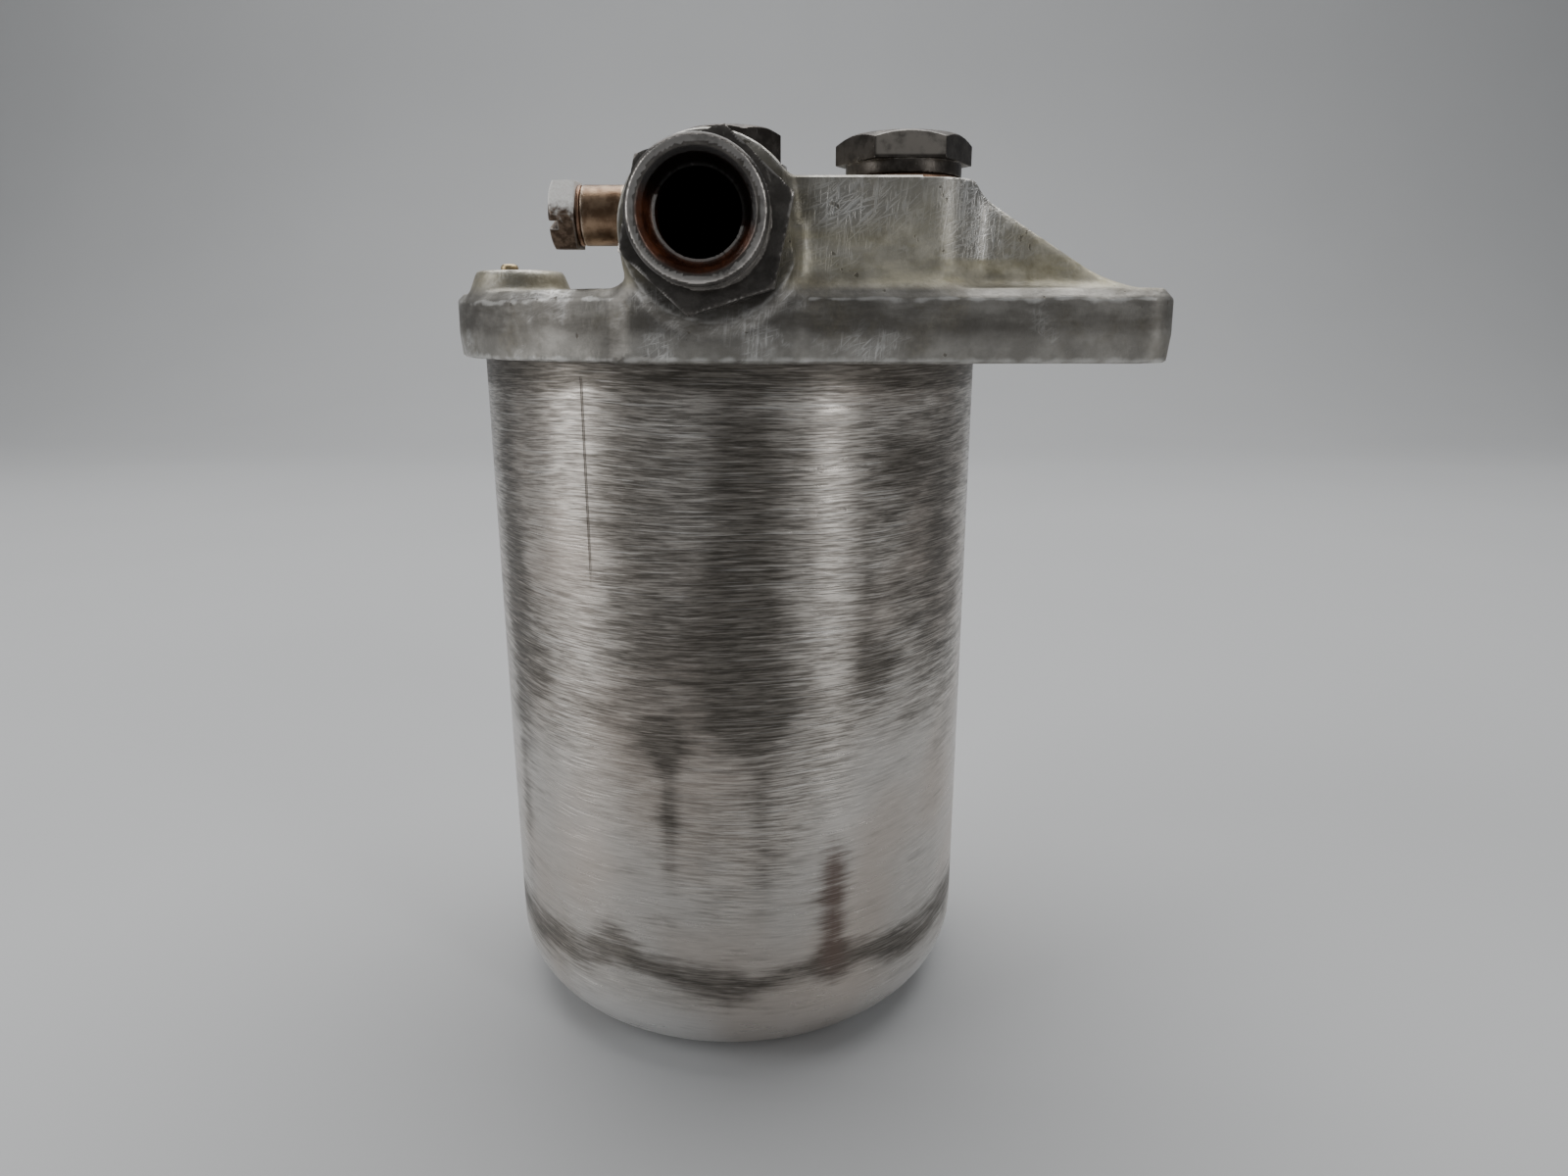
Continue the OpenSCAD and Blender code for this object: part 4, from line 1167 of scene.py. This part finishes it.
def worn_steel(name, dark, light, bright, roughness, grain_mm=0.5, lathe_axis=None):
    """Old plated steel: dark faces, bright worn edges, soil in the corners and threads; painted light on a facet and
    painted shade in a bore, where a piece's attributes mark them.
    """
    look = Look(name)
    hollow, ridge = look.attribute("hollow"), look.attribute("ridge")
    blotch = look.noise(3.2, 4, 0.62, 2.0)
    grain = look.noise(grain_mm, 3, 0.6, 5.0)
    colour = look.mix(dark, light, look.step(blotch, 0.36, 0.66))
    edge = look.math("ADD", ridge, look.math("MULTIPLY", look.math("SUBTRACT", look.noise(1.1, 3, 0.6, 9.0), 0.5), 0.6))
    worn = look.step(edge, 0.24, 0.6)
    # Painted light: the gallery plug's front facet is made lighter and less metallic.
    pale = look.attribute("pale")
    colour = look.mix(colour, (0.26, 0.238, 0.212), look.math("MULTIPLY", pale, look.step(blotch, 0.25, 0.55)))
    colour = look.mix(colour, bright, look.math("MULTIPLY", worn, 0.9))
    nick = look.step(look.noise(0.5, 2, 0.5, 13.0, (5, 1, 3), look.turned((0, 25, 40))), 0.68, 0.76)
    colour = look.mix(colour, bright, look.math("MULTIPLY", nick, 0.3))
    dirty = look.step(hollow, 0.25, 0.7)
    colour = look.mix(colour, (0.05, 0.04, 0.03), look.math("MULTIPLY", dirty, 0.7))
    # Painted shade: the union's bore is near black except on its lower, lit side, which shows rust; the attribute also
    # paints shade on the union's hexagon and thread.
    bore = look.attribute("bore")
    rust = look.mix((0.06, 0.021, 0.010), (0.18, 0.058, 0.025), look.step(blotch, 0.38, 0.62))
    rust = look.mix((0.008, 0.006, 0.005), rust, look.attribute("rusty"))
    colour = look.mix(colour, rust, bore)
    rough = look.math("ADD", roughness, look.math("MULTIPLY", look.math("SUBTRACT", grain, 0.5), 0.22))
    rough = look.math("SUBTRACT", rough, look.math("MULTIPLY", worn, 0.08))
    rough = look.blend_values(rough, 0.20, look.math("MULTIPLY", bore, 0.8))
    relief = look.math("SUBTRACT", look.math("ADD", grain, blotch), look.math("MULTIPLY", nick, 0.4))
    metallic = look.math("SUBTRACT", 1.0, look.math("MULTIPLY", look.math("MAXIMUM", bore, pale), 0.6))
    return look.finish(colour, rough, look.bump(relief, 0.035), metallic)


def plated_steel():
    """Zinc-plated steel, painted bright on top as painted light and dark brown underneath, partly brown soil and partly
    painted shade.
    """
    look = Look("plated_steel")
    ridge = look.attribute("ridge")
    grain = look.noise(0.35, 3, 0.6, 3.0)
    # Painted light and shade: lighter on top and darker and browner below the screw's axis, partly brown soil.
    low = look.math("SUBTRACT", bleed_z + 2.2, look.axis("Z"))
    brown = look.math("ADD", look.math("MULTIPLY", low, 0.22), look.math("MULTIPLY", look.math("SUBTRACT", look.noise(1.4, 4, 0.6, 6.0), 0.5), 1.2))
    brown = look.step(brown, 0.08, 0.65)
    bright = look.mix((0.86, 0.84, 0.80), (0.97, 0.96, 0.93), look.step(grain, 0.35, 0.65))
    dark = look.mix((0.07, 0.045, 0.03), (0.17, 0.12, 0.085), look.step(look.noise(0.9, 3, 0.6, 9.0), 0.35, 0.65))
    colour = look.mix(bright, dark, look.math("MULTIPLY", brown, look.math("SUBTRACT", 1.0, look.math("MULTIPLY", ridge, 0.6))))
    roughness = look.math("ADD", look.blend_values(0.30, 0.46, brown), look.math("MULTIPLY", look.math("SUBTRACT", grain, 0.5), 0.25))
    metallic = look.blend_values(0.0, 0.8, brown)
    return look.finish(colour, roughness, look.bump(look.math("ADD", grain, look.noise(1.2, 3, 0.6, 12.0)), 0.04), metallic)


def dull_metal(name, dark, light, bright, roughness, size=2.5):
    """Tarnished soft metal with turning marks rubbed bright in places."""
    look = Look(name)
    blotch = look.noise(size, 4, 0.6, 3.0)
    grain = look.noise(0.3, 3, 0.6, 6.0)
    colour = look.mix(dark, light, look.step(blotch, 0.34, 0.66))
    rubbed = look.step(look.math("ADD", look.attribute("ridge"), look.math("MULTIPLY", look.math("SUBTRACT", grain, 0.5), 0.8)), 0.30, 0.75)
    colour = look.mix(colour, bright, look.math("MULTIPLY", rubbed, 0.7))
    rough = look.math("ADD", roughness, look.math("MULTIPLY", look.math("SUBTRACT", grain, 0.5), 0.25))
    return look.finish(colour, rough, look.bump(look.math("ADD", grain, blotch), 0.03))


def sheet_tin():
    """Thin tinned steel with a faint spangle and rolling marks."""
    look = Look("tinplate")
    spangle = look.noise(4, 2, 0.4, 2.0, distortion=1.2)
    fine = look.noise(0.4, 2, 0.5, 5.0, (14, 1, 1))
    colour = look.mix((0.52, 0.51, 0.47), (0.70, 0.69, 0.65), look.step(spangle, 0.35, 0.65))
    stain = look.step(look.noise(9, 4, 0.6, 8.0), 0.56, 0.72)
    colour = look.mix(colour, (0.36, 0.29, 0.18), look.math("MULTIPLY", stain, 0.5))
    roughness = look.math("ADD", 0.26, look.math("MULTIPLY", fine, 0.2))
    return look.finish(colour, roughness, look.bump(fine, 0.012))


def wire_steel():
    """Drawn and oiled spring wire."""
    look = Look("spring_steel")
    fine = look.noise(0.5, 3, 0.6, 2.0, (1, 1, 0.4))
    blotch = look.noise(3, 3, 0.6, 5.0)
    colour = look.mix((0.17, 0.165, 0.16), (0.34, 0.33, 0.32), look.step(blotch, 0.35, 0.68))
    roughness = look.math("ADD", 0.24, look.math("MULTIPLY", fine, 0.2))
    return look.finish(colour, roughness, look.bump(fine, 0.015))


def rubber():
    """Black oil-proof rubber, matt, with a fine moulded grain and a little dust."""
    look = Look("rubber", metallic=0.0)
    grain = look.noise(0.25, 3, 0.6, 2.0)
    dust = look.step(look.noise(2.5, 4, 0.65, 5.0), 0.52, 0.75)
    colour = look.mix((0.018, 0.018, 0.018), (0.06, 0.058, 0.055), dust)
    roughness = look.math("ADD", 0.55, look.math("MULTIPLY", grain, 0.25))
    return look.finish(colour, roughness, look.bump(grain, 0.03))


def fibre(name, dark, light, fleck, fibre_mm):
    """Paper or card: short fibres that lie every way, with a few darker ones."""
    look = Look(name, metallic=0.0)
    fibres = look.noise(fibre_mm, 4, 0.65, 2.0, (4, 4, 1))
    crossed = look.noise(fibre_mm, 4, 0.65, 7.0, (1, 1, 5))
    cloud = look.noise(7, 3, 0.6, 11.0)
    both_ways = look.math("MULTIPLY", look.math("ADD", fibres, crossed), 0.5)
    colour = look.mix(dark, light, look.step(both_ways, 0.38, 0.62))
    colour = look.mix(colour, fleck, look.math("MULTIPLY", look.step(cloud, 0.5, 0.75), 0.4))
    roughness = look.math("ADD", 0.78, look.math("MULTIPLY", fibres, 0.15))
    return look.finish(colour, roughness, look.bump(both_ways, 0.05))


def floor_paint():
    """Pale matt studio floor."""
    look = Look("floor_paint", metallic=0.0)
    cloud = look.noise(180, 3, 0.5, 2.0)
    colour = look.mix((0.50, 0.505, 0.51), (0.54, 0.545, 0.55), cloud)
    return look.finish(colour, look.math("ADD", 0.55, look.math("MULTIPLY", look.noise(3, 3), 0.1)))


looks = {
    "bowl_steel": bowl_steel(),
    "cast_aluminium": cast_aluminium(),
    "dark_steel": worn_steel("dark_steel", (0.055, 0.048, 0.042), (0.12, 0.107, 0.095), (0.46, 0.43, 0.40), 0.40),
    "union_steel": worn_steel("union_steel", (0.12, 0.11, 0.10), (0.22, 0.203, 0.186), (0.56, 0.53, 0.50), 0.40),
    "plated_steel": plated_steel(),
    "bronze": dull_metal("bronze", (0.16, 0.098, 0.06), (0.34, 0.235, 0.155), (0.62, 0.52, 0.42), 0.36),
    "brass": dull_metal("brass", (0.30, 0.22, 0.12), (0.46, 0.36, 0.20), (0.62, 0.50, 0.30), 0.40),
    "copper": dull_metal("copper", (0.12, 0.07, 0.048), (0.24, 0.145, 0.10), (0.42, 0.27, 0.19), 0.40),
    "rubber": rubber(),
    "filter_paper": fibre("filter_paper", (0.62, 0.48, 0.27), (0.80, 0.66, 0.42), (0.55, 0.40, 0.20), 0.35),
    "filter_card": fibre("filter_card", (0.44, 0.31, 0.18), (0.60, 0.45, 0.28), (0.36, 0.24, 0.13), 0.5),
    "tinplate": sheet_tin(),
    "spring_steel": wire_steel(),
}

paint_bowl(pieces["bowl"])
paint_head(pieces["filter_head"])
paint_union(pieces["inlet_union"])
paint_plug(pieces["gallery_plug"])
for node, piece in pieces.items():
    piece.data.materials.clear()
    piece.data.materials.append(looks[slots[node]])
floor.data.materials.append(floor_paint())
